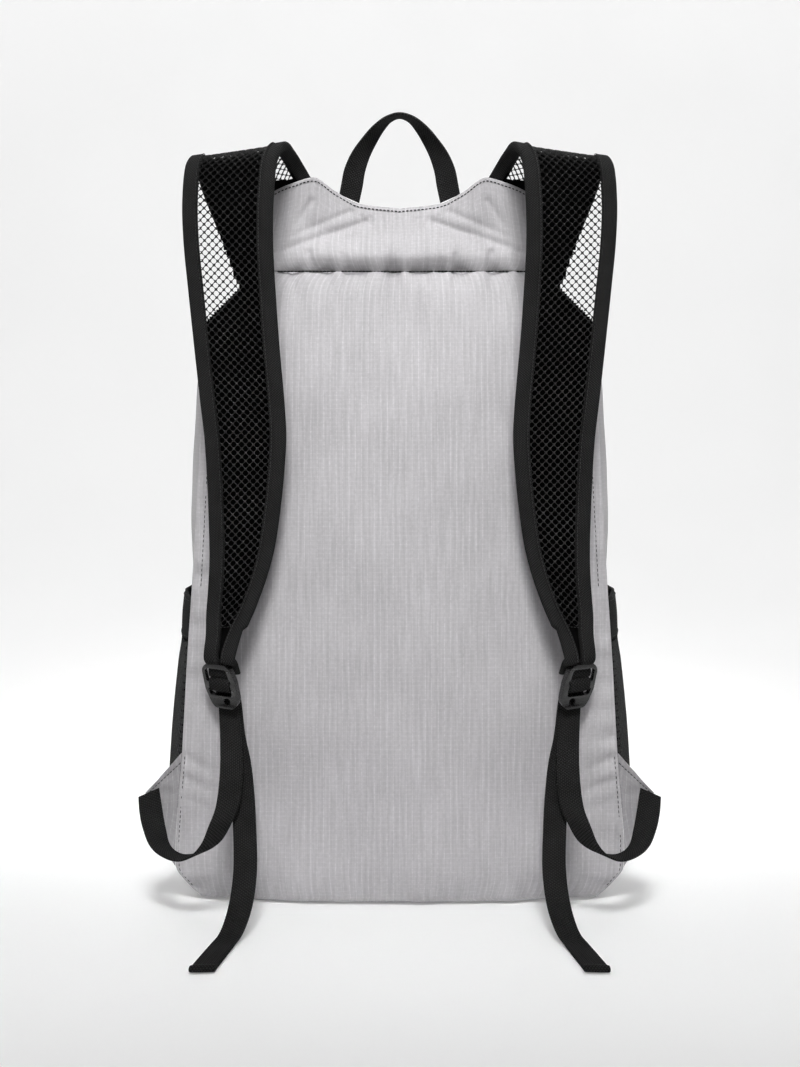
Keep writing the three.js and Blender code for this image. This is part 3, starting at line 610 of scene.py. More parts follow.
class Nodes:
    """A shader's node tree, with short ways to add to it."""

    def __init__(self, tree: bpy.types.NodeTree) -> None:
        """Keeps the tree."""
        self.tree = tree

    def feed(self, socket: bpy.types.NodeSocket, value: object) -> None:
        """Links a socket to another one, or sets its own value."""
        if isinstance(value, bpy.types.NodeSocket):
            self.tree.links.new(value, socket)
        else:
            socket.default_value = value

    def add(self, kind: str, inputs: Optional[dict] = None, **settings: object) -> bpy.types.Node:
        """Adds a node.

        Args:
            kind: the node's type, without ShaderNode.
            inputs: values or sockets by the names of its inputs.
            settings: its own properties.

        Returns:
            The node.
        """
        node = self.tree.nodes.new("ShaderNode" + kind)
        for key, value in settings.items():
            setattr(node, key, value)
        for key, value in (inputs or {}).items():
            self.feed(node.inputs[key], value)
        return node

    def math(self, operation: str, *values: object) -> bpy.types.NodeSocket:
        """Result of a sum on values or sockets."""
        node = self.add("Math", operation=operation)
        for socket, value in zip(node.inputs, values):
            self.feed(socket, value)
        return node.outputs[0]

    def ramp(self, value: object, low: float, high: float, start: float = 0.0, end: float = 1.0,
             smooth: bool = True) -> bpy.types.NodeSocket:
        """A value carried from one range to another, held at the ends."""
        kind = "SMOOTHSTEP" if smooth else "LINEAR"
        node = self.add("MapRange", {
            "Value": value, "From Min": low, "From Max": high, "To Min": start, "To Max": end,
        }, interpolation_type=kind)
        return node.outputs["Result"]

    def blend(self, share: object, low: object, high: object, kind: str = "MIX") -> bpy.types.NodeSocket:
        """A colour between two colours."""
        node = self.add("Mix", data_type="RGBA", blend_type=kind)
        for socket, value in zip((node.inputs[0], node.inputs[6], node.inputs[7]), (share, low, high)):
            self.feed(socket, value)
        return node.outputs[2]

    def noise(self, place: object, scale: float, detail: float = 2.0,
              rough: float = 0.5) -> bpy.types.NodeSocket:
        """Uneven value round 0.5."""
        return self.add("TexNoise", {
            "Vector": place, "Scale": scale, "Detail": detail, "Roughness": rough,
        }).outputs["Fac"]

    def group(self, tree: bpy.types.NodeTree, inputs: dict) -> bpy.types.Node:
        """Places a shared effect with its own values."""
        node = self.tree.nodes.new("ShaderNodeGroup")
        node.node_tree = tree
        for key, value in inputs.items():
            self.feed(node.inputs[key], value)
        return node


def shared_effect(name: str, inputs: dict, outputs: Sequence[str]) -> tuple[Nodes, dict, dict]:
    """Starts a node group for an effect that several materials use.

    Args:
        name: name of the group.
        inputs: first values of its inputs by name; "vector" marks a place on the cloth.
        outputs: names of the values that it puts out.

    Returns:
        The group's nodes, its input sockets and its output sockets, by name.
    """
    tree = bpy.data.node_groups.new(name, "ShaderNodeTree")
    for key, value in inputs.items():
        kind = "NodeSocketVector" if value == "vector" else "NodeSocketFloat"
        socket = tree.interface.new_socket(key, in_out="INPUT", socket_type=kind)
        if value != "vector":
            socket.default_value = value
    for key in outputs:
        tree.interface.new_socket(key, in_out="OUTPUT", socket_type="NodeSocketFloat")
    start, end = tree.nodes.new("NodeGroupInput"), tree.nodes.new("NodeGroupOutput")
    return Nodes(tree), start.outputs, end.inputs


class Effects:
    """Node groups that the finishes share, each made once."""

    made: dict = {}

    @classmethod
    def get(cls, name: str) -> bpy.types.NodeTree:
        """The group of that name, made at its first use."""
        if name not in cls.made:
            cls.made[name] = getattr(cls, name)()
        return cls.made[name]

    @staticmethod
    def ripstop() -> bpy.types.NodeTree:
        """Grid of thick threads in a plain weave, read from a place on the flat cloth."""
        n, given, out = shared_effect(
            "ripstop grid", {"Cloth": "vector", "Across": 0.0042, "Up": 0.003, "Thread": 0.0005},
            ("Grid", "Weave", "Streaks"),
        )
        place = n.add("SeparateXYZ", {"Vector": given["Cloth"]})
        wander = n.math("MULTIPLY", n.math("SUBTRACT", n.noise(given["Cloth"], 60.0, 1.0), 0.5), 0.0012)
        lines = []
        for axis, pitch in (("X", "Across"), ("Y", "Up")):
            where = n.math("ADD", place.outputs[axis], wander)
            away = n.math("PINGPONG", where, n.math("MULTIPLY", given[pitch], 0.5))
            lines.append(n.ramp(away, given["Thread"], 0.0))
        broken = n.ramp(n.noise(given["Cloth"], 700.0, 1.0), 0.35, 0.62)
        dots = n.math("MULTIPLY", n.math("MULTIPLY", lines[0], lines[1]), broken)
        upright = n.math("MULTIPLY", lines[0], n.math("ADD", n.math("MULTIPLY", broken, 0.35), 0.15))
        level = n.math("MULTIPLY", lines[1], n.math("ADD", n.math("MULTIPLY", broken, 0.2), 0.05))
        n.feed(out["Grid"], n.math("MAXIMUM", dots, n.math("MAXIMUM", upright, level)))
        drawn = n.add("VectorMath", {0: given["Cloth"], 1: (520.0, 26.0, 1.0)}, operation="MULTIPLY")
        n.feed(out["Streaks"], n.noise(drawn.outputs[0], 1.0, 2.0, 0.6))
        turns = [n.math("SINE", n.math("MULTIPLY", place.outputs[a], 2 * math.pi / 0.00055))
                 for a in "XY"]
        n.feed(out["Weave"], n.math("MULTIPLY", turns[0], turns[1]))
        return n.tree

    @staticmethod
    def unevenness() -> bpy.types.NodeTree:
        """Soft changes of tint over a large and a small size."""
        n, given, out = shared_effect(
            "uneven tint", {"Cloth": "vector", "Size": 18.0}, ("Broad", "Fine"),
        )
        n.feed(out["Broad"], n.noise(given["Cloth"], given["Size"], 3.0, 0.55))
        n.feed(out["Fine"], n.noise(given["Cloth"], n.math("MULTIPLY", given["Size"], 28.0), 3.0, 0.6))
        return n.tree

    @staticmethod
    def ribs() -> bpy.types.NodeTree:
        """Woven tape: ribs along it, crossed by finer ones, with its threads' grain."""
        n, given, out = shared_effect(
            "woven ribs", {"Cloth": "vector", "Lengthwise": 0.0016, "Crosswise": 0.0009},
            ("Ribs", "Threads"),
        )
        place = n.add("SeparateXYZ", {"Vector": given["Cloth"]})
        tau = 2 * math.pi
        turn = n.math("MULTIPLY", n.math("DIVIDE", place.outputs["X"], given["Lengthwise"]), tau)
        along = n.math("SINE", turn)
        step = n.math("MULTIPLY", n.math("SIGN", along), math.pi / 2)
        turn = n.math("MULTIPLY", n.math("DIVIDE", place.outputs["Y"], given["Crosswise"]), tau)
        cross = n.math("SINE", n.math("ADD", turn, step))
        n.feed(out["Ribs"], n.math("ADD", n.math("MULTIPLY", n.math("ABSOLUTE", along), 0.6),
                                   n.math("MULTIPLY", cross, 0.4)))
        n.feed(out["Threads"], n.noise(given["Cloth"], 2200.0, 2.0, 0.6))
        return n.tree


def grey(share: float, tint: tuple = (1.0, 1.0, 1.0)) -> tuple:
    """Linear colour of a screen grey from 0 to 255, with a tint."""
    c = share / 255
    linear = c / 12.92 if c <= 0.04045 else ((c + 0.055) / 1.055) ** 2.4
    return tuple(linear * t for t in tint) + (1.0,)


def new_look(name: str) -> tuple[Nodes, bpy.types.Node, bpy.types.NodeSocket]:
    """Starts a material that reads the piece's own map of its cloth.

    Returns:
        Its nodes, its Principled shader and the place on the cloth.
    """
    look = bpy.data.materials.new(name)
    look.use_nodes = True
    n = Nodes(look.node_tree)
    shader = look.node_tree.nodes["Principled BSDF"]
    return n, shader, n.add("UVMap", uv_map="cloth").outputs["UV"]


COOL = (1.0, 0.975, 1.005)


@dataclass(frozen=True)
class RipstopFinish:
    """Thin coated cloth with a grid of thicker threads."""

    name: str
    light: float
    dark: float
    rough: float = 0.6
    sheen: float = 0.12
    relief: float = 0.00011

    def make(self) -> bpy.types.Material:
        """The cloth's material."""
        n, shader, place = new_look(self.name)
        grid = n.group(Effects.get("ripstop"), {"Cloth": place})
        tint = n.group(Effects.get("unevenness"), {"Cloth": place, "Size": 14.0})
        shade = n.ramp(tint.outputs["Broad"], 0.25, 0.75)
        base = n.blend(shade, grey(self.dark, COOL), grey(self.light, COOL))
        lifted = n.blend(n.math("MULTIPLY", grid.outputs["Grid"], 0.75), base,
                         grey(self.light + 34, COOL))
        grain = n.ramp(tint.outputs["Fine"], 0.3, 0.7, 0.95, 1.04)
        streaks = n.ramp(grid.outputs["Streaks"], 0.3, 0.7, 0.91, 1.05)
        tinted = n.add("HueSaturation", {"Color": lifted, "Value": n.math("MULTIPLY", grain, streaks)})
        n.feed(shader.inputs["Base Color"], tinted.outputs["Color"])
        rough = n.math("ADD", self.rough - 0.05, n.math("MULTIPLY", tint.outputs["Broad"], 0.1))
        rough = n.math("SUBTRACT", rough, n.math("MULTIPLY", grid.outputs["Grid"], 0.08))
        n.feed(shader.inputs["Roughness"], rough)
        height = n.math("ADD", n.math("MULTIPLY", grid.outputs["Grid"], self.relief),
                        n.math("MULTIPLY", grid.outputs["Weave"], self.relief * 0.16))
        height = n.math("ADD", height, n.math("MULTIPLY", tint.outputs["Fine"], self.relief * 0.8))
        height = n.math("ADD", height, n.math("MULTIPLY", grid.outputs["Streaks"], self.relief * 1.6))
        bump = n.add("Bump", {"Height": height, "Strength": 0.7, "Distance": 1.0})
        n.feed(shader.inputs["Normal"], bump.outputs["Normal"])
        shader.inputs["Sheen Weight"].default_value = self.sheen
        shader.inputs["Sheen Roughness"].default_value = 0.4
        shader.inputs["Specular IOR Level"].default_value = 0.35
        return bpy.data.materials[self.name]


@dataclass(frozen=True)
class TapeFinish:
    """Black woven tape or webbing, with painted shading of its weave: lighter rib tops, darker hollows.
    """

    name: str
    light: float
    dark: float
    lengthwise: float
    crosswise: float
    relief: float = 0.00012
    rough: float = 0.88

    def make(self) -> bpy.types.Material:
        """The tape's material."""
        n, shader, place = new_look(self.name)
        ribs = n.group(Effects.get("ribs"), {
            "Cloth": place, "Lengthwise": self.lengthwise, "Crosswise": self.crosswise,
        })
        tint = n.group(Effects.get("unevenness"), {"Cloth": place, "Size": 40.0})
        # Painted shading of the weave: the colour follows rib height, lighter on the rib tops and darker
        # in the hollows, mixed with the threads' grain.
        high = n.ramp(ribs.outputs["Ribs"], -0.2, 0.9)
        shade = n.math("ADD", n.math("MULTIPLY", high, 0.7),
                       n.math("MULTIPLY", ribs.outputs["Threads"], 0.3))
        base = n.blend(shade, grey(self.dark), grey(self.light))
        value = n.ramp(tint.outputs["Broad"], 0.3, 0.7, 0.88, 1.12)
        tinted = n.add("HueSaturation", {"Color": base, "Value": value})
        n.feed(shader.inputs["Base Color"], tinted.outputs["Color"])
        n.feed(shader.inputs["Roughness"], n.ramp(high, 0.0, 1.0, self.rough + 0.1, self.rough - 0.06))
        height = n.math("ADD", n.math("MULTIPLY", ribs.outputs["Ribs"], self.relief),
                        n.math("MULTIPLY", ribs.outputs["Threads"], self.relief * 0.6))
        bump = n.add("Bump", {"Height": height, "Strength": 0.8, "Distance": 1.0})
        n.feed(shader.inputs["Normal"], bump.outputs["Normal"])
        shader.inputs["Specular IOR Level"].default_value = 0.08
        return bpy.data.materials[self.name]


@dataclass(frozen=True)
class PlasticFinish:
    """Moulded plastic with a soft gloss and a painted highlight along its convex edges."""

    name: str
    light: float
    dark: float
    rough: float

    def make(self) -> bpy.types.Material:
        """The plastic's material."""
        n, shader, _ = new_look(self.name)
        place = n.add("TexCoord").outputs["Object"]
        tint = n.group(Effects.get("unevenness"), {"Cloth": place, "Size": 60.0})
        # Painted highlight: the colour turns lighter on convex edges, read from pointiness.
        edge_highlight = n.ramp(n.add("NewGeometry").outputs["Pointiness"], 0.52, 0.62)
        base = n.blend(n.math("MULTIPLY", edge_highlight, 0.5), grey(self.dark), grey(self.light))
        n.feed(shader.inputs["Base Color"], base)
        rough = n.ramp(tint.outputs["Fine"], 0.3, 0.7, self.rough - 0.05, self.rough + 0.08)
        n.feed(shader.inputs["Roughness"], rough)
        bump = n.add("Bump", {
            "Height": n.math("MULTIPLY", tint.outputs["Fine"], 0.00002), "Strength": 0.6,
            "Distance": 1.0,
        })
        n.feed(shader.inputs["Normal"], bump.outputs["Normal"])
        shader.inputs["Specular IOR Level"].default_value = 0.6
        return bpy.data.materials[self.name]


class Wardrobe:
    """The bag's finishes, each made once."""

    def __init__(self) -> None:
        """Makes all the materials."""
        self.ripstop = RipstopFinish("grey ripstop", 193, 181).make()
        # The same ripstop painted darker: painted shade for the side panels, base and wing tab.
        self.side_cloth = RipstopFinish("grey side cloth", 172, 160, rough=0.66).make()
        # For the tapes, light and dark are painted shading of their ribs: lit rib tops and shaded
        # hollows.
        self.tape = TapeFinish("black binding tape", 56, 2, 0.0019, 0.0016, relief=0.0005).make()
        self.webbing = TapeFinish("black webbing", 52, 2, 0.0026, 0.0018, relief=0.0005).make()
        self.net = TapeFinish("black net yarn", 74, 44, 0.0007, 0.0007, rough=0.8).make()
        # Near-black sheet behind the nets: painted shade seen through the straps' mesh.
        self.lining = TapeFinish("black net backing", 8, 3, 0.0006, 0.0006, rough=0.95).make()
        self.thread = TapeFinish("dark thread", 76, 44, 0.0004, 0.0005, rough=0.7).make()
        self.plastic = PlasticFinish("black moulded plastic", 66, 20, 0.24).make()


# ---------------------------------------------------------------- studio


@dataclass
class Studio:
    """Pale floor that curves up into a pale wall, soft lights, and the camera."""

    room_half: float = 3.5
    wall_at: float = 2.6
    bend: float = 1.2
    wall_top: float = 3.5
    eye: tuple = (0.0002, -EYE_DISTANCE * MM, EYE_HEIGHT * MM)
    lens: float = 50.61
    shift_down: float = 0.0764

    def build(self) -> None:
        """Makes the floor, the lights and the camera."""
        self.floor()
        self.lights()
        self.camera()

    def floor(self) -> None:
        """A sheet of floor, a round bend and a wall in one surface."""
        a = np.linspace(0, math.pi / 2, 24)
        y = np.concatenate([[-self.room_half, -2, -1, -0.5, 0, 0.5, 1.0],
                            self.wall_at - self.bend + self.bend * np.sin(a), [self.wall_at]])
        z = np.concatenate([np.zeros(7), self.bend * (1 - np.cos(a)), [self.wall_top]])
        x = np.linspace(-self.room_half, self.room_half, 15)
        places = np.stack([np.broadcast_to(x, (len(y), 15)), np.broadcast_to(y[:, None], (len(y), 15)),
                           np.broadcast_to(z[:, None], (len(y), 15))], -1) / MM
        cove = new_piece("studio_floor", places.reshape(-1, 3), [grid_faces(*places.shape[:2])],
                         spread(places).reshape(-1, 2))
        n, shader, place = new_look("studio paper")
        mottle = n.ramp(n.noise(place, 3.0), 0.3, 0.7, 0.985, 1.0)
        tone = n.add("HueSaturation", {"Color": (0.87, 0.87, 0.87, 1.0), "Value": mottle})
        n.feed(shader.inputs["Base Color"], tone.outputs["Color"])
        n.feed(shader.inputs["Roughness"], n.ramp(n.noise(place, 40.0), 0.3, 0.7, 0.85, 0.95))
        shader.inputs["Specular IOR Level"].default_value = 0.1
        n.feed(shader.inputs["Emission Color"], tone.outputs["Color"])
        shader.inputs["Emission Strength"].default_value = 0.2
        cove.data.materials.append(bpy.data.materials["studio paper"])

    def lamp(self, name: str, place: Sequence[float], target: Sequence[float], size: float,
             power: float, spread: float = 180.0) -> None:
        """A square soft light that faces a point, its beam narrowed to a spread in degrees."""
        light = bpy.data.lights.new(name, "AREA")
        light.spread = math.radians(spread)
        light.shape, light.size, light.energy = "SQUARE", size, power
        lamp = bpy.data.objects.new(name, light)
        lamp.location = place
        look = bpy.data.objects.new(name, None).location
        look[:] = [t - p for t, p in zip(target, place)]
        lamp.rotation_euler = look.to_track_quat("-Z", "Y").to_euler()
        bpy.context.scene.collection.objects.link(lamp)

    def lights(self) -> None:
        """Soft lights above the camera and at both its sides, and washes for the wall."""
        self.lamp("key", (0, -1.25, 1.8), (0, 0, 0.38), 0.7, 2.15, spread=30)
        for name, x in (("left", -1), ("right", 1)):
            self.lamp("side_" + name, (1.6 * x, -1.1, 0.95), (0, 0, 0.3), 0.8, 0.4)
            self.lamp("wash_" + name, (1.6 * x, 0.7, 2.9), (0.6 * x, 2.6, 1.5), 1.6, 37)
        self.lamp("rear", (0, 1.4, 2.4), (0, 0, 0.3), 1.0, 7)
        world = bpy.data.worlds.new("surround")
        world.use_nodes = True
        back = world.node_tree.nodes["Background"]
        back.inputs["Color"].default_value = (1, 1, 1, 1)
        back.inputs["Strength"].default_value = 0.1
        bpy.context.scene.world = world
        bpy.context.scene.view_settings.view_transform = "Standard"

    def camera(self) -> None:
        """A level camera at the photograph's place, its frame shifted down."""
        eye = bpy.data.cameras.new("camera")
        eye.lens, eye.sensor_width, eye.clip_start = self.lens, 36.0, 0.01
        eye.shift_y = -self.shift_down
        seat = bpy.data.objects.new("camera", eye)
        seat.location = self.eye
        seat.rotation_euler = (math.pi / 2, 0, 0)
        bpy.context.scene.collection.objects.link(seat)
        bpy.context.scene.camera = seat


# ---------------------------------------------------------------- pieces


# Creases pressed into the strap side's cloth: from x, z to x, z, with width and depth, in mm.
# Each is on both sides of the bag.
CREASES = (
    (23, 457, 76, 438, 2.6, 1.3), (34, 464, 74, 446, 2.2, 0.7), (20, 460, 16, 446, 1.6, 0.5),
    (26, 461, 22, 450, 1.3, 0.5), (12, 459, 10, 448, 1.4, 0.4), (60, 470, 72, 452, 2.4, 0.7),
    (62, 435, 60, 424, 2.2, 1.1), (38, 433, 37, 424, 1.8, 0.5), (80, 436, 78, 424, 1.8, 0.6),
    (73, 420, 70, 404, 2.4, 1.1), (36, 420, 36, 409, 2.0, 0.8), (54, 420, 55, 411, 1.6, 0.4),
    (4.5, 419, 5.5, 396, 1.5, 0.7), (19, 420, 18, 410, 1.5, 0.4), (7, 3, 9, 22, 2.6, 1.0),
    (19, 3, 16, 18, 2.2, 0.9), (32, 3, 34, 14, 2.4, 0.6), (55, 3, 52, 18, 3.0, 0.7),
    (84, 3, 80, 20, 3.0, 0.8), (146, 98, 120, 86, 3.4, 1.3), (146, 84, 122, 74, 3.0, 1.1),
    (146, 70, 124, 62, 2.6, 0.7), (146, 110, 124, 106, 3.0, 0.6), (138, 8, 124, 16, 4.0, 1.4),
    (140, 22, 122, 24, 3.0, 0.7), (104, 3, 100, 16, 3.0, 0.8),
)


def crease_depth(x: np.ndarray, z: np.ndarray) -> np.ndarray:
    """How far the creases press the cloth in at each place."""
    total = np.zeros(np.broadcast(x, z).shape)
    for ax, az, bx, bz, wide, deep in CREASES:
        length = math.hypot(bx - ax, bz - az)
        dx, dz = (bx - ax) / length, (bz - az) / length
        for sign in (1, -1):
            px, pz = x * sign - ax, z - az
            run = np.clip((px * dx + pz * dz) / length, 0, 1)
            away = np.hypot(px - run * length * dx, pz - run * length * dz) / wide
            total += deep * np.exp(-away * away) * np.sqrt(np.clip(1 - run, 0.0, 1.0) + 0.05)
    return total


def hemmed(places: np.ndarray, inward: np.ndarray, deep: float = 3.0) -> np.ndarray:
    """A grid of places whose four edges are turned in.

    Args:
        places: rows and columns of points in mm.
        inward: direction to the inside of the bag at each point.
        deep: how far the edges reach in.

    Returns:
        The larger grid.
    """
    turn = ((0.12, 0.3), (0.15, 0.9), (-0.1, deep))
    for axis in (0, 1):
        grid, into = np.moveaxis(places, axis, 0), np.moveaxis(inward, axis, 0)
        first, last = unit(grid[0] - grid[1]), unit(grid[-1] - grid[-2])
        before = [grid[0] + first * out + into[0] * down for out, down in reversed(turn)]
        after = [grid[-1] + last * out + into[-1] * down for out, down in turn]
        grid = np.concatenate([before, grid, after])
        into = np.concatenate([[into[0]] * 3, into, [into[-1]] * 3])
        places, inward = np.moveaxis(grid, 0, axis), np.moveaxis(into, 0, axis)
    return places


@dataclass
class BagShell:
    """The bag's cloth panels, sewn edge to edge."""

    looks: Wardrobe
    thick: float = 0.7
    across: int = 168
    pucker: float = 1.1

    def build(self) -> None:
        """Makes every panel."""
        self.face("back_panel_cloth", "back_panel", True, BAG.floor_cloth, BAG.yoke_seam, 200)
        self.face("yoke_cloth", "yoke", True, BAG.yoke_seam + BAG.seam, None, 56)
        self.face("front_panel_cloth", "front_panel", False, BAG.floor_cloth, None, 80)
        self.base()
        for side in Side:
            self.gusset("side_cloth_" + side.tag, "side_panel_" + side.tag, side, 0.0, 0.9989, 0, 1,
                        (44, 150), self.looks.side_cloth, "grey_side_cloth")
        edge = (ZIP_WIDTH / 2 + BAG.seam) / BAG.top_depth
        self.gusset("top_cloth_back", "top_gusset_back", Side.RIGHT, 1.0, 3.0, 0, ZIP_PLACE - edge,
                    (12, 160), self.looks.ripstop, "grey_ripstop")
        self.gusset("top_cloth_front", "top_gusset_front", Side.RIGHT, 1.0, 3.0, ZIP_PLACE + edge, 1,
                    (20, 160), self.looks.ripstop, "grey_ripstop")

    @staticmethod
    def sagged(p: np.ndarray, z: np.ndarray) -> np.ndarray:
        """How far the strap side's foot bulges out over the floor."""
        return 13 * BAG.crowned(p) * np.exp(-((z / 38) ** 2))

    def relief(self, p: np.ndarray, x: np.ndarray, z: np.ndarray, strap_side: bool) -> np.ndarray:
        """Small folds of a face, in mm towards the inside of the bag."""
        to_side = (1 - np.abs(p)) * BAG.half
        total = 0.35 * waves(x, z, 85, 3) + 0.12 * waves(x, z * 0.6, 26, 5)
        total += self.pucker * np.exp(-to_side / 12) * waves(x * 0.1, z, 15, 8) * (np.abs(p) < 1)
        total += 1.4 * self.pucker * np.exp(-z / 12) * waves(x, z * 0.1, 17, 11)
        if strap_side:
            roll = np.exp(-(((z - BAG.yoke_seam) / BAG.roll_reach - 1.6) ** 2))
            total += roll * BAG.crowned(p) * 0.9 * waves(x, z, 34, 17)
            seam = np.abs(z - BAG.yoke_seam)
            total += 1.7 * self.pucker * np.exp(-seam / 9) * waves(x, z * 0.15, 13, 14)
            total += 1.6 * crease_depth(x, z)
            above, below = np.clip(z - BAG.yoke_seam, 0, None), np.clip(BAG.yoke_seam - z, 0, None)
            pulled = np.exp(-((above / 2.6) ** 2)) * np.exp(-((below / 2.2) ** 2))
            puffed = np.exp(-(((z - BAG.yoke_seam - 8.5) / 5) ** 2))
            total += (2.6 * pulled - 1.8 * puffed) * BAG.crowned(p)
        fade = np.clip(to_side / 2.5, 0, 1) * np.clip((z - BAG.floor_cloth) / 3 + 0.25, 0, 1)
        return total * fade - (self.sagged(p, z) if strap_side else 0)

    def face(self, name: str, node: str, strap_side: bool, low: float, high: Optional[float],
             rows: int) -> None:
        """One face of the bag between two heights.

        Args:
            name: name of the piece.
            node: CAD node that it replaces.
            strap_side: whether it is on the strap side.
            low: its lower edge.
            high: its upper edge, or None for the bag's top edge.
            rows: rows of quads.
        """
        p = np.linspace(-1, 1, self.across + 1)[None, :]
        top = BAG.top_height(p) if high is None else np.full_like(p, high)
        z = low + (top - low) * np.linspace(0, 1, rows + 1)[:, None]
        p = np.broadcast_to(p, z.shape)
        x = p * BAG.half_width(z)
        y = BAG.back_y(p, z) if strap_side else BAG.front_y(p, z)
        inward = 1 if strap_side else -1
        y = y + inward * self.relief(p, x, z, strap_side)
        places = np.stack([x, y, z], -1)
        turned = np.broadcast_to([0.0, inward, 0.0], places.shape)
        piece = wall(name, hemmed(places, turned), self.thick, flip=not strap_side)
        stands(piece, self.looks.ripstop, "grey_ripstop", node)

    def gusset(self, name: str, node: str, side: Side, first: float, last: float, low: float,
               high: float, grid: tuple, look: bpy.types.Material, slot: str) -> None:
        """A stretch of the cloth that runs round between the two faces.

        Args:
            name: name of the piece.
            node: CAD node that it replaces.
            side: half of the bag.
            first: where it starts along the faces' edge.
            last: where it ends.
            low: its place between the faces, 0 at the strap side.
            high: its other place, 1 at the plain side.
            grid: columns and rows of quads.
            look: its material.
            slot: the record's slot.
        """
        columns, rows = grid
        t = np.linspace(first, last, rows + 1)[:, None]
        w = np.linspace(low, high, columns + 1)[None, :]
        out = np.broadcast_to(BAG.edge_out(t), (rows + 1, columns + 1, 3))
        places = BAG.gusset_at(t, w)
        y, z = places[..., 1], places[..., 2]
        edge = np.minimum(w - low, high - w) / (high - low)
        swell = 0.3 * waves(y, z, 70, 21) + 0.5 * np.exp(-edge * 14) * waves(y * 0.1, z, 14, 23)
        swell = swell * np.clip(edge * 20, 0, 1)
        places = places - out * swell[..., None]
        piece = wall(name, hemmed(places, -out, 1.4) * [side.value, 1, 1], self.thick,
                     flip=side is Side.LEFT)
        stands(piece, look, slot, node)

    def base(self) -> None:
        """The floor of the bag."""
        p = np.linspace(-1, 1, 80)[None, :]
        w = np.linspace(0, 1, 40)[:, None]
        z = BAG.floor_cloth
        half = float(BAG.half_width(z))
        back, front = BAG.back_y(p, z) - self.sagged(p, z), BAG.front_y(p, z)
        y = back + 0.8 + (front - back - 1.6) * w
        x = np.broadcast_to(p * (half - 0.8), y.shape)
        ripple = np.clip(0.35 + 0.3 * waves(x, y, 50, 31), 0.05, 1.5)
        edge = np.minimum(np.minimum(w, 1 - w) * 40, np.minimum(1 - p, p + 1) * 40)
        lift = ripple + np.exp(-edge * 1.2) * 1.6
        places = np.stack([x, y, lift], -1)
        piece = wall("base_cloth", places, 0.7, flip=True)
        stands(piece, self.looks.side_cloth, "grey_side_cloth", "base_panel")


class Webbed:
    """Tables of the straps and webbing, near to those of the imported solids.

    The straps' arch is a little lower, and the webbing's cut end leans the other way.
    """

    strap = Shares("row out up fore wide tilt yaw", [(n,) + row for n, row in enumerate([
        (0.545, 0.918, 0.355, 1.44, 56, 12), (0.618, 0.966, 0.4, 1.24, 41, 10),
        (0.672, 1.003, 0.48, 1.13, 25, 7), (0.7, 1.022, 0.575, 1.05, 9, 3),
        (0.728, 1.007, 0.645, 1.0, 5, 0), (0.742, 0.956, 0.68, 0.99, 0, 0),
        (0.741, 0.9, 0.685, 0.97, -1, 0), (0.725, 0.83, 0.68, 0.945, -2, 0),
        (0.707, 0.765, 0.675, 0.93, -3, 0), (0.682, 0.685, 0.67, 0.92, -3, 0),
        (0.669, 0.635, 0.665, 0.89, -1, 0), (0.669, 0.58, 0.66, 0.83, 2, 0),
        (0.674, 0.534, 0.655, 0.78, 3, 0), (0.685, 0.483, 0.65, 0.71, 6, 0),
        (0.703, 0.444, 0.655, 0.65, 9, -2), (0.73, 0.405, 0.665, 0.56, 10, -5),
        (0.752, 0.376, 0.68, 0.435, 6, -10), (0.772, 0.342, 0.7, 0.37, 0, -16),
    ])])
    adjuster = Shares("row out up fore tilt yaw", [(n,) + row for n, row in enumerate([
        (1.106, 0.154, 0.556, 24, 0), (1.09, 0.132, 0.595, 10, 8),
        (1.064, 0.113, 0.66, 0, 24), (1.03, 0.096, 0.72, 0, 48),
        (0.985, 0.088, 0.765, 0, 66), (0.925, 0.085, 0.795, 0, 76),
        (0.855, 0.092, 0.81, 0, 62), (0.8, 0.106, 0.81, 0, 40),
        (0.762, 0.129, 0.795, 0, 22), (0.738, 0.148, 0.75, 0, 8),
        (0.728, 0.18, 0.705, 0, -4), (0.732, 0.222, 0.65, -3, -12),
    ])])
    threading = Shares("row up back", [(n,) + row for n, row in enumerate([
        (-0.44, 1.25), (-0.29, 1.1), (-0.2, 0.75), (-0.145, 0.0), (-0.09, -0.82),
        (0.0, -1.0), (0.095, -0.82), (0.15, 0.0), (0.13, 0.95), (0.03, 1.5),
        (-0.14, 2.0), (-0.3, 2.35), (-0.46, 2.6),
    ])])
    tail = Shares("row out up fore tilt yaw", [(n,) + row for n, row in enumerate([
        (0.722, 0.235, 0.6, 0, -16), (0.696, 0.2, 0.635, 2, -8),
        (0.677, 0.16, 0.685, 1, -2), (0.663, 0.12, 0.752, 0, 0),
        (0.65, 0.075, 0.855, 0, 0), (0.656, 0.044, 0.93, 0, 2),
        (0.668, 0.026, 0.985, 0, 8), (0.69, 0.0095, 1.06, 0, 14),
        (0.712, 0.0036, 1.12, 0, 12), (0.735, 0.0022, 1.25, 0, 7),
        (0.754, 0.0022, 1.375, 0, 4), (0.758, 0.0024, 1.41, 0, 4),
    ])])
    haul = Shares("row out rise fore turn lift", [(n,) + row for n, row in enumerate([
        (0.232, 0.04, 0.262, 0, 24), (0.218, 0.218, 0.262, 6, 14),
        (0.207, 0.364, 0.262, 18, 8), (0.18, 0.543, 0.262, 34, 6),
        (0.141, 0.707, 0.262, 50, 6), (0.098, 0.853, 0.262, 64, 5),
        (0.052, 0.958, 0.262, 78, 2), (0.0, 1.0, 0.262, 90, 0),
    ])])


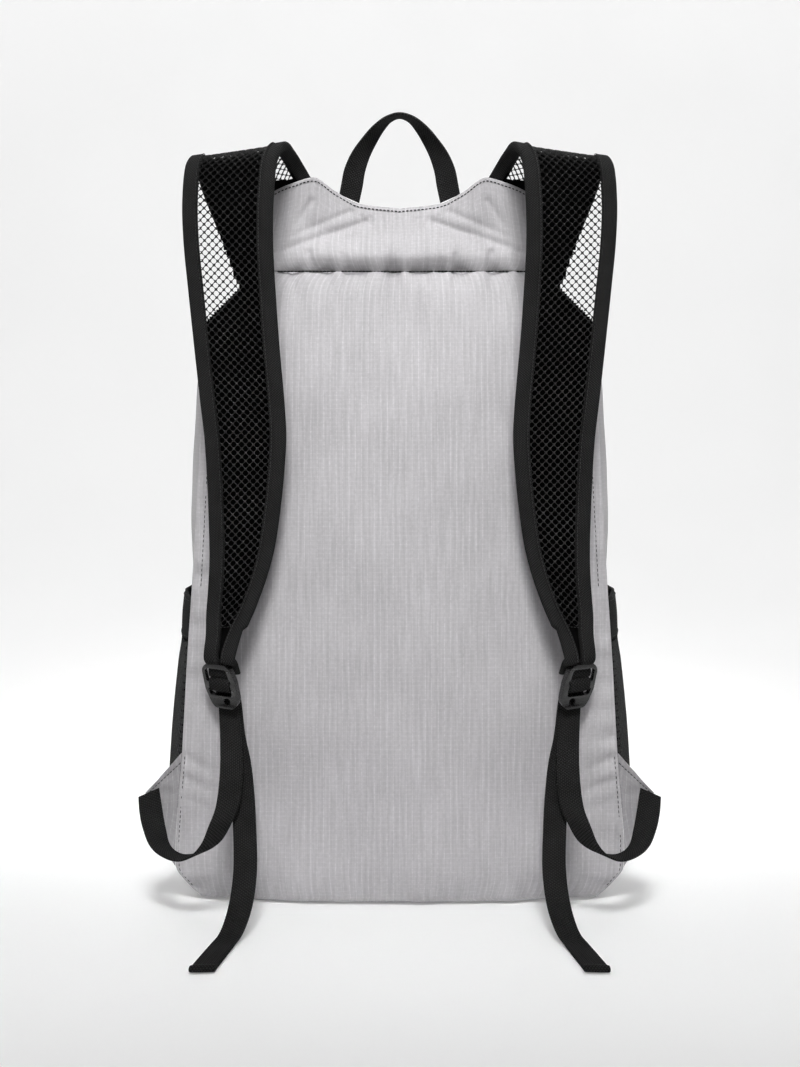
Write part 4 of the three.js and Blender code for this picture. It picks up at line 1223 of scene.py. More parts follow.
def inside_outline(x: np.ndarray, z: np.ndarray, gap: float = 1.1) -> np.ndarray:
    """Whether places lie inside the bag's outline, seen from the front, grown by a gap."""
    t = np.linspace(0.7, 2.2, 60)
    ex, ez, _ = BAG.edge_at(t)
    out = BAG.edge_out(t)
    px = np.append(ex + out[:, 0] * gap, 0.0)
    pz = np.append(ez + out[:, 2] * gap, BAG.shoulder / 2)
    within = np.zeros(x.shape, bool)
    for n in range(len(px)):
        ax, az, bx, bz = px[n - 1], pz[n - 1], px[n], pz[n]
        if az != bz:
            crosses = (az > z) != (bz > z)
            within ^= crosses & (x < (bx - ax) * (z - az) / (bz - az) + ax)
    return within


def sewn_on(places: np.ndarray, gap: float = 1.1) -> np.ndarray:
    """Grid of a strap's places, its first rows drawn along so that it starts at the bag's seam.

    Args:
        places: rows and columns of points in mm.
        gap: how far from the bag's outline it starts.

    Returns:
        The moved grid.
    """
    rows = len(places)
    settled = rows // 4
    inside = inside_outline(places[..., 0], places[..., 2], gap) & (places[..., 1] > -75)
    inside[settled:] = False
    grid = places.copy()
    for column in range(places.shape[1]):
        held = np.flatnonzero(inside[:, column])
        start = held[-1] + 1 if len(held) else 0
        at = start + (settled - start) * np.arange(settled) / settled
        for axis in range(3):
            grid[:settled, column, axis] = np.interp(at, np.arange(rows), places[:, column, axis])
    return grid


def evened(values: np.ndarray, reach: int) -> np.ndarray:
    """Values along a band, each taken as the mean of those around it."""
    window = np.ones(2 * reach + 1) / (2 * reach + 1)
    padded = np.pad(values, [(reach, reach)] + [(0, 0)] * (values.ndim - 1), mode="edge")
    if values.ndim == 1:
        return np.convolve(padded, window, "valid")
    return np.stack([np.convolve(c, window, "valid") for c in padded.T], -1)


def band_places(band: Band, ring: np.ndarray) -> np.ndarray:
    """Places of a band's cross-section at each station."""
    sides = band.across[:, None] * (ring[None, :, :1] * band.width[:, None, None] / 2)
    return band.middle[:, None] + sides + band.normal[:, None] * (
        ring[None, :, 1:] * band.thick[:, None, None] / 2)


def tube(name: str, places: np.ndarray, side: Side) -> bpy.types.Object:
    """A closed piece from rings of places, its length and breadth as its UV map.

    Args:
        name: name of the piece.
        places: rings of points in mm, on the right half of the bag.
        side: the half that the piece is on.

    Returns:
        The piece.
    """
    rows, columns = places.shape[:2]
    around = np.concatenate([[0.0], np.cumsum(np.linalg.norm(
        np.diff(places[rows // 2], axis=0), axis=1))])
    run = np.concatenate([[0.0], np.cumsum(np.linalg.norm(np.diff(places.mean(1), axis=0), axis=1))])
    flat = np.stack(np.broadcast_arrays(around[None], run[:, None]), -1).reshape(-1, 2) * MM
    points = np.concatenate([places.reshape(-1, 3), places[0].mean(0)[None], places[-1].mean(0)[None]])
    flat = np.concatenate([flat, flat[:1], flat[-1:]])
    k = np.arange(columns)
    after, last = (k + 1) % columns, (rows - 1) * columns
    tip = np.full_like(k, rows * columns)
    caps = np.concatenate([np.stack([after, k, tip], -1),
                           np.stack([last + k, last + after, tip + 1], -1)])
    body = grid_faces(rows, columns, around=True)
    return new_piece(name, mirror(points, side), [body, caps], flat, side is Side.LEFT)


@dataclass
class ShoulderStrap:
    """A shoulder strap: net on a dark backing of painted shade between two folded bindings."""

    side: Side
    looks: Wardrobe
    width: float = STRAP_WIDTH
    pad: float = STRAP_PAD
    binding: float = 10.0
    binding_thick: float = 6.0
    net_share: float = 0.835
    notch_share: float = 0.832
    cell: tuple = (2.55, 2.65)
    steps: int = 400

    def __post_init__(self) -> None:
        """Works out the strap's stations."""
        rows = stations(Webbed.strap, self.width, self.pad)
        tucked = [BUCKLE.place([-BUCKLE.shift * 0.6, y, z]) for y, z in ((3.6, 14.5), (4.6, 6.5))]
        last = rows.across[-1:]
        rows = Band(np.concatenate([rows.middle, tucked]), np.concatenate([rows.across, last, last]),
                    np.append(rows.width, [21.5, 20.5]), np.append(rows.thick, [3.4, 2.4]))
        raw = rows.smoothed(self.steps)
        reach = self.steps // 40
        self.band = Band(raw.middle, unit(evened(raw.across, reach)), evened(raw.width, reach),
                         evened(raw.thick, reach))

    @property
    def net_half(self) -> np.ndarray:
        """Half of the net's width at each station."""
        return self.band.width / 2 - self.binding - 0.2

    def build(self) -> None:
        """Makes the strap's pieces."""
        tag = self.side.tag
        w, tape = self.band.width, np.minimum(self.binding, self.band.width / 2 - 0.2)
        outer = self.binding_piece("strap_binding_outer_tape_" + tag, w / 2 - tape, w / 2)
        stands(outer, self.looks.tape, "black_tape", "strap_binding_outer_" + tag)
        past = np.arange(self.steps + 1) - self.notch_share * self.steps
        notch = np.clip(past / 3, 0, 1) * np.clip(2.4 - past / 30, 0, None)
        inner = self.binding_piece("strap_binding_inner_tape_" + tag, notch - w / 2, tape - w / 2)
        stands(inner, self.looks.tape, "black_tape", "strap_binding_inner_" + tag)
        welt = self.welt()
        stands(welt, self.looks.tape, "black_tape")
        yarn = self.net()
        stands(yarn, self.looks.net, "black_net")
        # The backing is painted shade: a dark sheet where the mesh shows only shade.
        backing = self.backing()
        stands(backing, self.looks.lining, "black_net", "strap_net_" + tag)
        for name, q, lift in (("outer", w / 2 - tape + 1.3, 3.05), ("inner", tape - w / 2 - 0.8, 3.65)):
            row = self.sewing("strap_stitches_" + name + "_" + tag, q, lift)
            stands(row, self.looks.thread, "black_tape")
        stands(self.end_seam(), self.looks.thread, "black_net")

    def binding_piece(self, name: str, low: np.ndarray, high: np.ndarray) -> bpy.types.Object:
        """One folded binding between two places across the strap."""
        ring = rounded_ring(0.8, 5, 5, self.binding, self.binding_thick)
        strip = self.band.strip(low, high, self.binding_thick)
        strip.thick = self.band.thick / self.pad * self.binding_thick
        places = sewn_on(band_places(strip, ring))
        return tube(name, places, self.side)

    def welt(self) -> bpy.types.Object:
        """Raised edge of the inner binding, beside the net."""
        w = self.band.width
        tape = np.minimum(self.binding, w / 2 - 0.2)
        last = int(self.steps * 0.9)
        ring = rounded_ring(1.0, 4, 0, 3.2, 2.4)
        strip = self.band.strip(tape - w / 2 - 2.2, tape - w / 2 + 0.6, 2.4, lift=2.4)
        places = sewn_on(band_places(strip, ring))[:last]
        return tube("strap_welt_" + self.side.tag, places, self.side)

    def at(self, run: np.ndarray, q: np.ndarray, lift: np.ndarray) -> np.ndarray:
        """Places on the strap: run along it, q across it and lift off it, all in mm."""
        length = self.band.run
        look = lambda v: np.stack([np.interp(run, length, c) for c in v.T], -1)
        middle, across, normal = look(self.band.middle), look(self.band.across), look(self.band.normal)
        return middle + across * q[..., None] + normal * lift[..., None]

    def net(self) -> bpy.types.Object:
        """Open net: round holes in staggered cells, each with a raised rim."""
        a, b = self.cell
        length = self.band.run
        until = length[int(self.steps * self.net_share)]
        rows = np.arange(1, int(until / b))
        middles = np.array([
            (row * b, (column + 0.5 * (row % 2)) * 2 * a)
            for row in rows for column in range(-14, 15)
        ])
        half = np.interp(middles[:, 0], length, self.net_half)
        middles = middles[np.abs(middles[:, 1]) < half + 1.2]
        place = self.at(middles[:, 0], middles[:, 1], np.zeros(len(middles)))
        behind = inside_outline(place[:, 0], place[:, 2], 0.2) & (place[:, 1] > -75)
        middles = middles[~behind]
        cell, one = net_cell(self.cell, ((1.0, 0.0, 1.0), (0.88, 0.3, 0.75), (0.74, 0.7, 0.1),
                                         (0.72, 0.7, -0.6)))
        run = middles[:, None, 0] + cell[None, :, 0]
        q = middles[:, None, 1] + cell[None, :, 1]
        lift = np.broadcast_to(cell[None, :, 2], run.shape) + 0.9
        points = self.at(np.clip(run, 0, length[-1]), q, lift).reshape(-1, 3)
        faces = (one[None] + len(cell) * np.arange(len(middles))[:, None, None]).reshape(-1, 4)
        flat = np.stack([q, run], -1).reshape(-1, 2) * MM
        return new_piece("strap_net_yarn_" + self.side.tag, mirror(points, self.side), [faces], flat,
                         self.side is Side.RIGHT)

    def backing(self) -> bpy.types.Object:
        """Dark sheet of painted shade behind the net, standing for the shade seen through the mesh, left
        open where the photograph shows light through it.
        """
        length = self.band.run
        run = np.linspace(2, length[-1] - 1, 270)[:, None]
        half = np.maximum(np.interp(run, length, self.net_half), 0.2) + 1.5
        q = half * np.linspace(-1, 1, 25)[None, :]
        places = sewn_on(self.at(np.broadcast_to(run, q.shape), q, np.full(q.shape, -1.2)), -0.6)
        faces = grid_faces(*q.shape)
        flat = spread(places).reshape(-1, 2)
        points = places.reshape(-1, 3)
        middle = points[faces].mean(1)
        faces = faces[~self.seen_through(middle)]
        piece = new_piece("strap_backing_" + self.side.tag, mirror(points, self.side), [faces], flat,
                          self.side is Side.RIGHT)
        solid = piece.modifiers.new("thickness", "SOLIDIFY")
        solid.thickness, solid.offset = 0.0006, 0.0
        return applied(piece)

    @staticmethod
    def seen_through(middle: np.ndarray) -> np.ndarray:
        """Which parts of the painted-shade backing are open: those past the bag and past the strap's
        rear part.

        Args:
            middle: middles of the backing's faces, in mm.

        Returns:
            True where the cloth is left out.
        """
        shown = EYE_DISTANCE / (middle[:, 1] + EYE_DISTANCE)
        x, z = middle[:, 0] * shown, (middle[:, 2] - EYE_HEIGHT) * shown
        front = middle[:, 1] < -84
        past_rear = x > 144.3 - (197.8 - z) * 0.363
        past_bag = z > 116.8 - (x - 114.9) * 0.97
        rear = ~front & (x > 77.6) & (z > 195) & (z < 212)
        return (front & past_rear & past_bag) | rear

    def sewing(self, name: str, q: np.ndarray, lift: float) -> bpy.types.Object:
        """A row of stitches along the strap."""
        first, last = int(self.steps * 0.11), int(self.steps * 0.9)
        band = self.band
        path = band.middle + band.across * q[:, None] + band.normal * lift
        return stitches(name, path[first:last], band.normal[first:last], 2.6, 1.8,
                        radius=0.24, side=self.side)

    def end_seam(self) -> bpy.types.Object:
        """Stitches across the net's lower end."""
        length = self.band.run
        run = length[int(self.steps * self.net_share)] - 1.5
        half = float(np.interp(run, length, self.net_half)) + 0.5
        q = np.linspace(-half, half, 12)
        path = self.at(np.full(12, run), q, np.full(12, 2.1))
        out = np.broadcast_to([np.interp(run, length, c) for c in self.band.normal.T], (12, 3))
        return stitches("strap_end_seam_" + self.side.tag, path, out, 1.9, 1.5, side=self.side)


class BuckleFrame:
    """The ladder-lock's own axes: X across, Y from its front to its back, Z along it."""

    length: float = 31.0
    thick: float = 3.2
    shift: float = 3.5
    clearance: float = 0.6
    half_webbing: float = 0.7
    # Lower and upper ends of the two windows, their width and their middle across.
    windows: tuple = ((2.0, 12.3), (-7.7, -2.0))
    window_width: float = 17.6
    window_middle: float = 1.0

    def __init__(self) -> None:
        """Places the frame under the strap's end."""
        strap_end = stations(Webbed.strap, STRAP_WIDTH, STRAP_PAD).middle[-1]
        lean, pitch, yaw = np.radians([8.0, 22.0, 28.0])
        up = np.array([math.sin(lean) * math.cos(pitch), -math.sin(pitch),
                       math.cos(lean) * math.cos(pitch)])
        side = unit(np.cross([0.0, 1.0, 0.0], up))
        turned = side * math.cos(yaw) + np.cross(up, side) * math.sin(yaw)
        self.axes = np.stack([turned, np.cross(up, turned), up])
        self.origin = strap_end - up * (self.length / 2 + 4.4) + turned * self.shift
        self.wrap = self.thick / 2 + self.clearance + self.half_webbing

    def place(self, local: np.ndarray) -> np.ndarray:
        """Places in the bag's frame from places in the buckle's."""
        return np.asarray(local) @ self.axes + self.origin


BUCKLE = BuckleFrame()


@dataclass
class LadderLock:
    """A moulded ladder-lock: rounded frame, two windows, a lip that curves forward."""

    side: Side
    looks: Wardrobe
    width: float = 24.0
    corner: float = 6.0

    def build(self) -> None:
        """Makes the buckle by hand tools and sets it in place."""
        body = self.blank()
        for low, high in BUCKLE.windows:
            opening = self.block("window", BUCKLE.window_width, 12, high - low, 2.0, (low + high) / 2)
            opening.location.x = BUCKLE.window_middle * MM
            self.cut(body, opening)
        hole = self.hole()
        self.cut(body, hole)
        edge = body.modifiers.new("edge", "BEVEL")
        edge.width, edge.segments = 0.0011, 4
        edge.limit_method, edge.angle_limit = "ANGLE", math.radians(40)
        applied(body)
        self.shape(body)
        stands(body, self.looks.plastic, "black_plastic", "buckle_" + self.side.tag)

    def block(self, name: str, wide: float, deep: float, tall: float, corner: float,
              middle: float) -> bpy.types.Object:
        """A block with its upright corners rounded, in the buckle's frame.

        Args:
            name: name of the object.
            wide: size across.
            deep: size from front to back.
            tall: size along the buckle.
            corner: radius of its corners.
            middle: its height in the buckle's frame.

        Returns:
            The block, in metres.
        """
        bpy.ops.object.select_all(action="DESELECT")
        bpy.ops.mesh.primitive_cube_add(size=1, location=(0, 0, middle * MM))
        piece = bpy.context.active_object
        piece.name = name
        piece.scale = (wide * MM, deep * MM, tall * MM)
        bpy.ops.object.transform_apply(location=True, rotation=False, scale=True)
        bpy.ops.object.mode_set(mode="EDIT")
        bpy.ops.mesh.select_mode(type="EDGE")
        bpy.ops.mesh.select_all(action="DESELECT")
        bpy.ops.object.mode_set(mode="OBJECT")
        for edge in piece.data.edges:
            a, b = (piece.data.vertices[v].co for v in edge.vertices)
            edge.select = abs(a.y - b.y) > deep * MM / 2
        bpy.ops.object.mode_set(mode="EDIT")
        bpy.ops.mesh.bevel(offset=corner * MM, segments=8, affect="EDGES")
        bpy.ops.object.mode_set(mode="OBJECT")
        return piece

    def blank(self) -> bpy.types.Object:
        """The frame before its windows are cut, with cuts across it so that it can bend."""
        piece = self.block("buckle_moulding_" + self.side.tag, self.width, BUCKLE.thick,
                           BUCKLE.length, self.corner, 0.0)
        bpy.ops.object.mode_set(mode="EDIT")
        for height in np.arange(-14.5, 15, 1.25):
            bpy.ops.mesh.select_all(action="SELECT")
            bpy.ops.mesh.bisect(plane_co=(0, 0, height * MM), plane_no=(0, 0, 1))
        bpy.ops.object.mode_set(mode="OBJECT")
        return piece

    def hole(self) -> bpy.types.Object:
        """A round pin through the lip."""
        bpy.ops.object.select_all(action="DESELECT")
        bpy.ops.mesh.primitive_cylinder_add(
            vertices=28, radius=2.5 * MM, depth=12 * MM,
            location=(-3.4 * MM, 0, -11.4 * MM), rotation=(math.pi / 2, 0, 0))
        pin = bpy.context.active_object
        bpy.ops.object.transform_apply(location=True, rotation=True, scale=True)
        return pin

    @staticmethod
    def cut(body: bpy.types.Object, tool: bpy.types.Object) -> None:
        """Cuts a tool's shape out of the body."""
        knife = body.modifiers.new("cut", "BOOLEAN")
        knife.operation, knife.solver, knife.object = "DIFFERENCE", "EXACT", tool
        applied(body)
        bpy.data.objects.remove(tool, do_unlink=True)

    def shape(self, body: bpy.types.Object) -> None:
        """Curves the lip forward, crowns the rails and sets the buckle in the bag's frame."""
        co = np.array([v.co for v in body.data.vertices]) / MM
        x, y, z = co.T
        low = np.clip((-8.6 - z) / 7, 0, None)
        y = y - 2.6 * low**1.5
        y = y * (1 + 0.35 * np.clip((-7 - x) / 4, 0, 1) * (np.abs(y) < 4))
        top = np.clip((z - 8.6) / 7, 0, None)
        y = y + 0.8 * top**1.5
        outer_low, inner_high = np.clip((-2 - z) / 13.5, 0, 1), np.clip((z - 2) / 13.5, 0, 1)
        x = x * np.where(x > 0, 1 - 0.36 * outer_low**1.6, 1 - 0.24 * inner_high**1.4)
        placed = mirror(BUCKLE.place(np.stack([x, y, z], -1)), self.side) * MM
        body.data.vertices.foreach_set("co", placed.astype(np.float32).ravel())
        if self.side is Side.LEFT:
            body.data.flip_normals()
        body.data.update()
        select_only(body)
        bpy.ops.object.shade_smooth_by_angle(angle=math.radians(50))
        body.select_set(False)


@dataclass
class AdjusterWebbing:
    """Webbing from the wing tab in a loop to the buckle and down as a free tail."""

    side: Side
    looks: Wardrobe
    width: float = WEBBING_WIDTH
    thick: float = 1.3

    def ring(self) -> np.ndarray:
        """Cross-section with shallow ribs along both faces."""
        ring = rounded_ring(1.0, 4, 11, self.width, self.thick)
        ribs = 1 + 0.09 * np.cos(ring[:, 0] * math.pi * 7)
        return np.stack([ring[:, 0], ring[:, 1] * np.where(np.abs(ring[:, 1]) > 0.9, ribs, 1)], -1)

    def build(self) -> None:
        """Makes the webbing, its folded end and the strap's end loop."""
        tag = self.side.tag
        whole = self.route().smoothed(480)
        body = tube("adjuster_band_" + tag, band_places(whole, self.ring()), self.side)
        stands(body, self.looks.webbing, "black_webbing", "adjuster_webbing_" + tag)
        self.folded_end(whole)
        self.end_loop()

    def route(self) -> Band:
        """Stations of the whole webbing."""
        first = stations(Webbed.adjuster, self.width, self.thick)
        last = stations(Webbed.tail, self.width, self.thick)
        up, back = Webbed.threading.column("up"), Webbed.threading.column("back")
        local = np.stack([np.zeros_like(up), back * BUCKLE.wrap, up * BUCKLE.length], -1)
        count = len(up)
        parts = (first, Band(BUCKLE.place(local), np.tile(BUCKLE.axes[0], (count, 1)),
                             np.full(count, self.width), np.full(count, self.thick)), last)
        return Band(*(np.concatenate([getattr(p, key) for p in parts])
                      for key in ("middle", "across", "width", "thick")))

    def folded_end(self, whole: Band) -> None:
        """Second layer of the tail's end and the bar that it is rolled to."""
        tag, steps = self.side.tag, len(whole.middle) - 1
        end = whole.part(1 - 64 / steps, 1.0, 40)
        lifted = end.strip(-end.width / 2 + 0.1, end.width / 2 - 0.1, self.thick, lift=0)
        out = end.normal * np.sign(end.normal[-1, 2])
        taper = np.clip(np.linspace(0.0, 6.0, 41), 0.45, 1)[:, None]
        lifted.middle = lifted.middle + out * (self.thick * 1.02) * taper
        layer = tube("tail_fold_" + tag, band_places(lifted, self.ring()), self.side)
        stands(layer, self.looks.webbing, "black_webbing")
        tip, across = end.middle[-1], end.across[-1]
        forward = unit(end.middle[-1] - end.middle[-4])
        upward = out[-1]
        a = np.linspace(0, 2 * math.pi, 17)[:-1]
        bar = np.stack([3.0 * np.cos(a), 2.0 * np.sin(a)], -1)
        q = np.array([-7.6, -7.3, -6.5, 0, 6.5, 7.3, 7.6])
        swell = np.array([0.5, 0.85, 1, 1.03, 1, 0.85, 0.5])
        places = (tip - forward * 0.6 + upward * 1.3)[None, None] + across * q[:, None, None] + (
            upward * bar[None, :, 1:] - forward * bar[None, :, :1]) * swell[:, None, None]
        roll = tube("tail_roll_" + tag, places, self.side)
        stands(roll, self.looks.webbing, "black_webbing")
        for n, back in enumerate((3.6, 5.2)):
            q = np.linspace(-6.4, 6.4, 10)[:, None]
            path = (tip - forward * back + upward * 2.0)[None] + across * q
            sewn = stitches(f"tail_stitches_{n}_" + tag, path, np.tile(upward, (10, 1)), 2.0, 1.5,
                            radius=0.22, side=self.side)
            stands(sewn, self.looks.thread, "black_webbing")

    def end_loop(self) -> None:
        """Webbing folded round the buckle's top bar and up to the strap."""
        tag = self.side.tag
        route = ((2.6, 17.2), (2.7, 14.0), (1.6, 11.6), (0.2, 9.6), (-0.1, 7.6), (0.1, 6.0),
                 (1.0, 5.4), (2.2, 6.4), (3.6, 9.5), (4.4, 13.0), (4.5, 17.0))
        local = np.array([(0.6, y, z) for y, z in route])
        count = len(local)
        band = Band(BUCKLE.place(local), np.tile(BUCKLE.axes[0], (count, 1)),
                    np.full(count, self.width), np.full(count, self.thick)).smoothed(90)
        loop = tube("strap_end_webbing_" + tag, band_places(band, self.ring()), self.side)
        stands(loop, self.looks.webbing, "black_webbing", "strap_end_loop_" + tag)


@dataclass
class HaulLoop:
    """Loop of webbing over the middle of the yoke."""

    looks: Wardrobe
    width: float = WEBBING_WIDTH
    thick: float = 1.9
    rise: float = 59.7

    def build(self) -> None:
        """Makes the loop."""
        get = Webbed.haul.column
        share = get("out")[0] * BAG.half / float(BAG.half_width(BAG.shoulder))
        foot = float(BAG.top_height(np.array(share)))
        a, b = np.radians(get("turn")), np.radians(get("lift"))
        across = np.stack([np.cos(a) * np.cos(b), -np.sin(a), np.cos(a) * np.sin(b)], -1)
        middle = np.stack([get("out") * BAG.half, -get("fore") * BAG.depth,
                           foot + get("rise") * self.rise], -1)
        flip = np.array([-1, 1, 1])
        middle = np.concatenate([middle[:-1] * flip, middle[::-1]])
        across = np.concatenate([across[:-1] * flip, across[::-1]])
        count = len(middle)
        band = Band(middle, across, np.full(count, self.width), np.full(count, self.thick)).smoothed(260)
        ring = rounded_ring(1.0, 4, 13, self.width, self.thick)
        loop = tube("haul_loop_band", band_places(band, ring), Side.RIGHT)
        stands(loop, self.looks.webbing, "black_webbing", "haul_loop")


@dataclass
class SidePocket:
    """Side pocket of open net with a wide smooth hem at its mouth."""

    side: Side
    looks: Wardrobe
    bottom: float = 58.0
    top: float = 202.0
    hem: float = 28.0
    bulge = Shares("up lift", [(58, 0), (66, 9), (78, 12), (100, 12.5), (154, 10), (174, 7.8), (202, 7)])
    cell: tuple = (2.25, 2.35)

    def at(self, u: np.ndarray, z: np.ndarray, off: np.ndarray) -> np.ndarray:
        """Places on the pocket: u across it, z up it and off outwards."""
        t = (z - BAG.floor_cloth) / (BAG.shoulder - BAG.floor_cloth)
        bulge = self.bulge.at("lift", z) * np.sin(math.pi * np.clip(u, 0, 1)) ** 0.7
        place = BAG.gusset_at(t, 0.035 + 0.93 * u)
        return place + BAG.edge_out(t) * (bulge + 0.5 + off)[..., None]

    def build(self) -> None:
        """Makes the net, its hem and the hem's stitches."""
        tag = self.side.tag
        hem = self.hem_piece()
        stands(hem, self.looks.tape, "black_tape", "pocket_hem_" + tag)
        yarn = self.net()
        stands(yarn, self.looks.net, "black_net")
        backing = self.backing()
        stands(backing, self.looks.lining, "black_net", "pocket_net_" + tag)
        for n, v in enumerate((0.06, 0.91)):
            u = np.linspace(0.02, 0.98, 60)
            z = self.top - self.hem * (1 - v) + 0.9 * np.sin(math.pi * u) * v**3
            path = self.at(u, z, self.hem_off(u, np.full(60, v)) + 0.05)
            out = unit(np.gradient(path, axis=0))
            out = np.cross(out, [0, 0, 1.0])
            out *= np.sign(out[:, :1])
            sewn = stitches(f"pocket_stitches_{n}_" + tag, path, out, 2.7, 1.9, radius=0.22,
                            side=self.side)
            stands(sewn, self.looks.thread, "black_tape")

    @staticmethod
    def hem_off(u: np.ndarray, v: np.ndarray) -> np.ndarray:
        """How far the hem's outer face stands off the pocket, u across and v up it."""
        off = 1.9 + 0.35 * np.sin(u * 21) * v**2 + 0.4 * np.sin(math.pi * v) ** 2 - 1.6 * v**2
        off = off - 0.5 * np.exp(-((v - 0.98) / 0.05) ** 2)
        return off * np.clip(10 * np.minimum(u, 1 - u), 0, 1)

    def hem_piece(self) -> bpy.types.Object:
        """The folded hem, its rim standing slightly open."""
        u = np.linspace(0, 1, 120)[None, :]
        v = np.linspace(0, 1, 30)[:, None]
        z = self.top - self.hem + self.hem * v + 0 * u
        z = z + 0.9 * np.sin(math.pi * u) * v**3
        places = self.at(u + 0 * v, z, self.hem_off(u, v))
        return wall("pocket_hem_band_" + self.side.tag, mirror(places, self.side), 2.0,
                    flip=self.side is Side.LEFT)

    def backing(self) -> bpy.types.Object:
        """Dark sheet just under the net's open yarn, which keeps its holes dark."""
        u = np.linspace(0, 1, 60)[None, :]
        z = np.linspace(self.bottom, self.top - self.hem + 1, 50)[:, None] + 0 * u
        places = self.at(u + 0 * z, z, 0.1 + 0 * z)
        return wall("pocket_backing_" + self.side.tag, mirror(places, self.side), 0.4,
                    flip=self.side is Side.LEFT)

    def net(self) -> bpy.types.Object:
        """Open net of round holes, one cell beside the other."""
        a, b = self.cell
        wide = 148.0
        middles = np.array([
            (self.bottom + row * b, (column + 0.5 * (row % 2)) * 2 * a)
            for row in range(1, int((self.top - self.hem - self.bottom) / b))
            for column in range(0, int(wide / 2 / a))
        ])
        cell, one = net_cell(self.cell, ((1.0, 0.0, 0.6), (0.84, 0.5, 0.4), (0.68, 0.8, -0.2)))
        z = middles[:, None, 0] + cell[None, :, 0]
        run = middles[:, None, 1] + cell[None, :, 1]
        off = np.broadcast_to(cell[None, :, 2], z.shape) + 0.9
        points = self.at(np.clip(run / wide, 0, 1), z, off).reshape(-1, 3)
        faces = (one[None] + len(cell) * np.arange(len(middles))[:, None, None]).reshape(-1, 4)
        flat = np.stack([run, z], -1).reshape(-1, 2) * MM
        return new_piece("pocket_net_yarn_" + self.side.tag, mirror(points, self.side), [faces], flat,
                         self.side is Side.LEFT)


@dataclass
class WingTab:
    """Triangle of bag cloth in the side seam that carries the webbing."""

    side: Side
    looks: Wardrobe
    top: float = 99.5
    bottom: float = 24.0
    reach: float = 21.0

    def build(self) -> None:
        """Makes the tab and the stitches along its upper edge."""
        tag = self.side.tag
        v = np.linspace(0, 1, 50)[:, None]
        u = np.linspace(0, 1, 40)[None, :]
        z_seam = self.bottom + (self.top - self.bottom) * v
        tip = (self.top + self.bottom) / 2
        x_seam = BAG.half_width(z_seam) + 0.2
        x_tip = float(BAG.half_width(tip)) + self.reach
        z_tip = tip + 15 * (-0.4 + 1.15 * v)
        x = x_seam + (x_tip - x_seam) * u
        z = z_seam + (z_tip - z_seam) * u
        y = float(BAG.back_y(np.array(1.0), np.array(tip))) + 0.4 + 0 * x
        y = y + (0.7 * waves(x, z * 2.2, 26, 41) - 1.0) * np.sin(math.pi * u) * 0.8
        y = y - 0.9 * np.exp(-((v - 1) / 0.05) ** 2)
        places = np.stack([x, y, z], -1)
        piece = wall("wing_cloth_" + tag, mirror(places, self.side), 1.2,
                     flip=self.side is Side.LEFT)
        stands(piece, self.looks.side_cloth, "grey_side_cloth", "wing_tab_" + tag)
        row = places[45]
        out = np.tile([0.0, -1.0, 0.0], (len(row), 1))
        sewn = stitches("wing_stitches_" + tag, row + out * 0.1, out, 2.6, 1.8, side=self.side)
        stands(sewn, self.looks.thread, "grey_side_cloth")


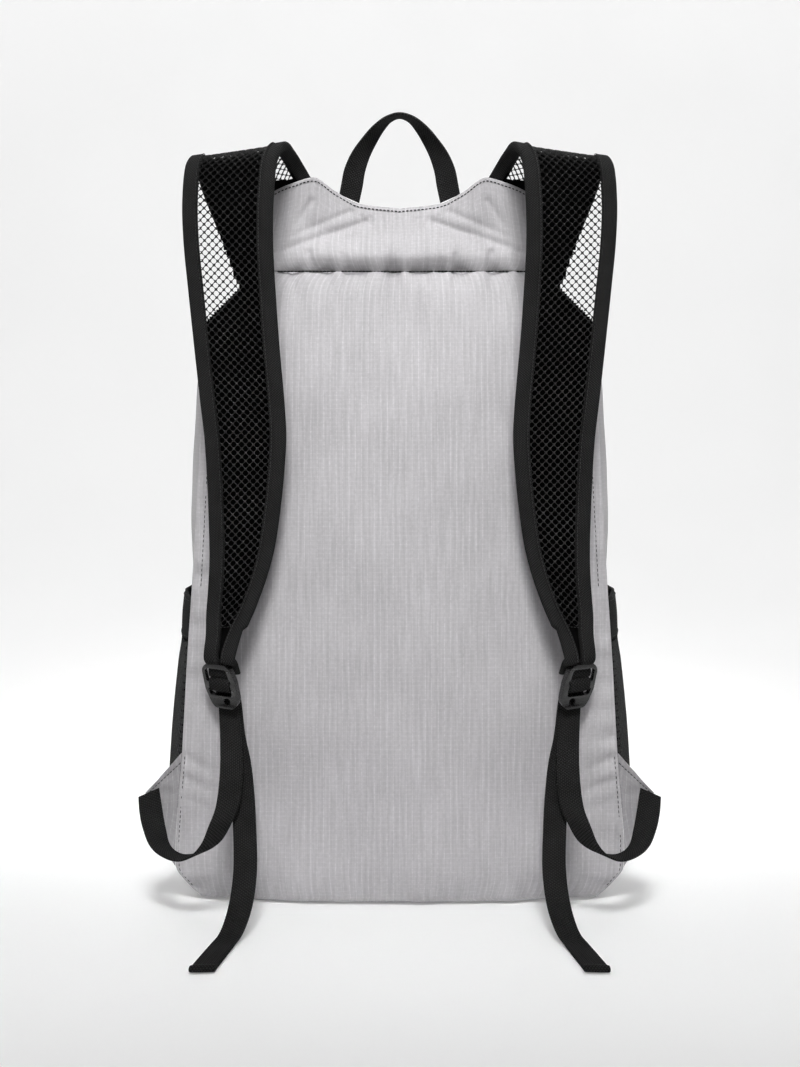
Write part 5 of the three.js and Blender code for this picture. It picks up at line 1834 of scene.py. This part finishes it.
@dataclass
class TopZip:
    """Coil zip between the two strips of cloth over the top."""

    looks: Wardrobe
    width: float = ZIP_WIDTH
    place: float = ZIP_PLACE

    def build(self) -> None:
        """Makes the tapes and the coil."""
        half = self.width / 2 / BAG.top_depth
        t = np.linspace(1.0, 3.0, 260)[:, None]
        w = np.linspace(self.place - half, self.place + half, 9)[None, :]
        out = np.broadcast_to(BAG.edge_out(t), (260, 9, 3))
        bow = np.array([0.0, 0.1, 0.25, 0.3, -0.2, 0.3, 0.25, 0.1, 0.0])
        places = BAG.gusset_at(t, w) + out * (bow[None, :, None] - 0.3)
        tape_piece = wall("zip_tapes", hemmed(places, -out, 1.0), 0.8)
        stands(tape_piece, self.looks.tape, "zip_tape", "top_zip")
        fine = np.linspace(1.02, 2.98, 500)
        line = BAG.gusset_at(fine, np.full(500, self.place))
        out = BAG.edge_out(fine)
        for n, shift in enumerate((-0.85, 0.85)):
            path = line + np.array([0.0, shift, 0.0])
            coil = stitches(f"zip_coil_{n}", path, out, 1.25, 0.9, radius=0.75, sunk=0.6)
            stands(coil, self.looks.plastic, "zip_tape")


@dataclass
class Stitching:
    """Rows of stitches on the bag's own seams."""

    looks: Wardrobe

    def build(self) -> None:
        """Sews the yoke's top edge and the side seams."""
        p = np.linspace(-0.97, 0.97, 400)
        z = BAG.top_height(p) - 2.4
        path = BAG.on_strap_side(p, z)
        out = np.tile([0.0, -1.0, 0.0], (400, 1))
        top = stitches("yoke_stitches", path + out * 0.15, out, 2.6, 1.7, radius=0.42)
        stands(top, self.looks.thread, "grey_ripstop")
        # A continuous dark line of overlapping thread along the yoke seam: seam thread, and painted
        # shade of the seam's groove.
        z = np.full(400, BAG.yoke_seam + 0.2)
        y = BAG.back_y(p, z) + 1.7 * BAG.crowned(p)
        path = np.stack([p * BAG.half_width(z), y, z], -1)
        cord = stitches("yoke_seam_cord", path, out, 2.4, 2.6, radius=0.6)
        stands(cord, self.looks.thread, "grey_ripstop")
        for side in Side:
            for name, low, high, share in (("upper", 210, 336, 0.955), ("lower", 10, 98, 0.985)):
                z = np.linspace(low, high, 120)
                p = np.full(120, share)
                path = BAG.on_strap_side(p, z)
                out = np.tile(unit(np.array([0.2, -1.0, 0.0])), (120, 1))
                seam = stitches(f"side_stitches_{name}_" + side.tag, path + out * 0.2, out, 3.2, 2.0,
                                radius=0.26, side=side)
                stands(seam, self.looks.thread, "grey_ripstop")


def main() -> None:
    """Builds the bag from its shell outwards, then the studio round it."""
    logging.basicConfig(level=logging.INFO, format="%(message)s")
    Studio().build()
    looks = Wardrobe()
    BagShell(looks).build()
    TopZip(looks).build()
    HaulLoop(looks).build()
    for side in Side:
        ShoulderStrap(side, looks).build()
        LadderLock(side, looks).build()
        AdjusterWebbing(side, looks).build()
        SidePocket(side, looks).build()
        WingTab(side, looks).build()
    Stitching(looks).build()


if __name__ == "__main__":
    main()
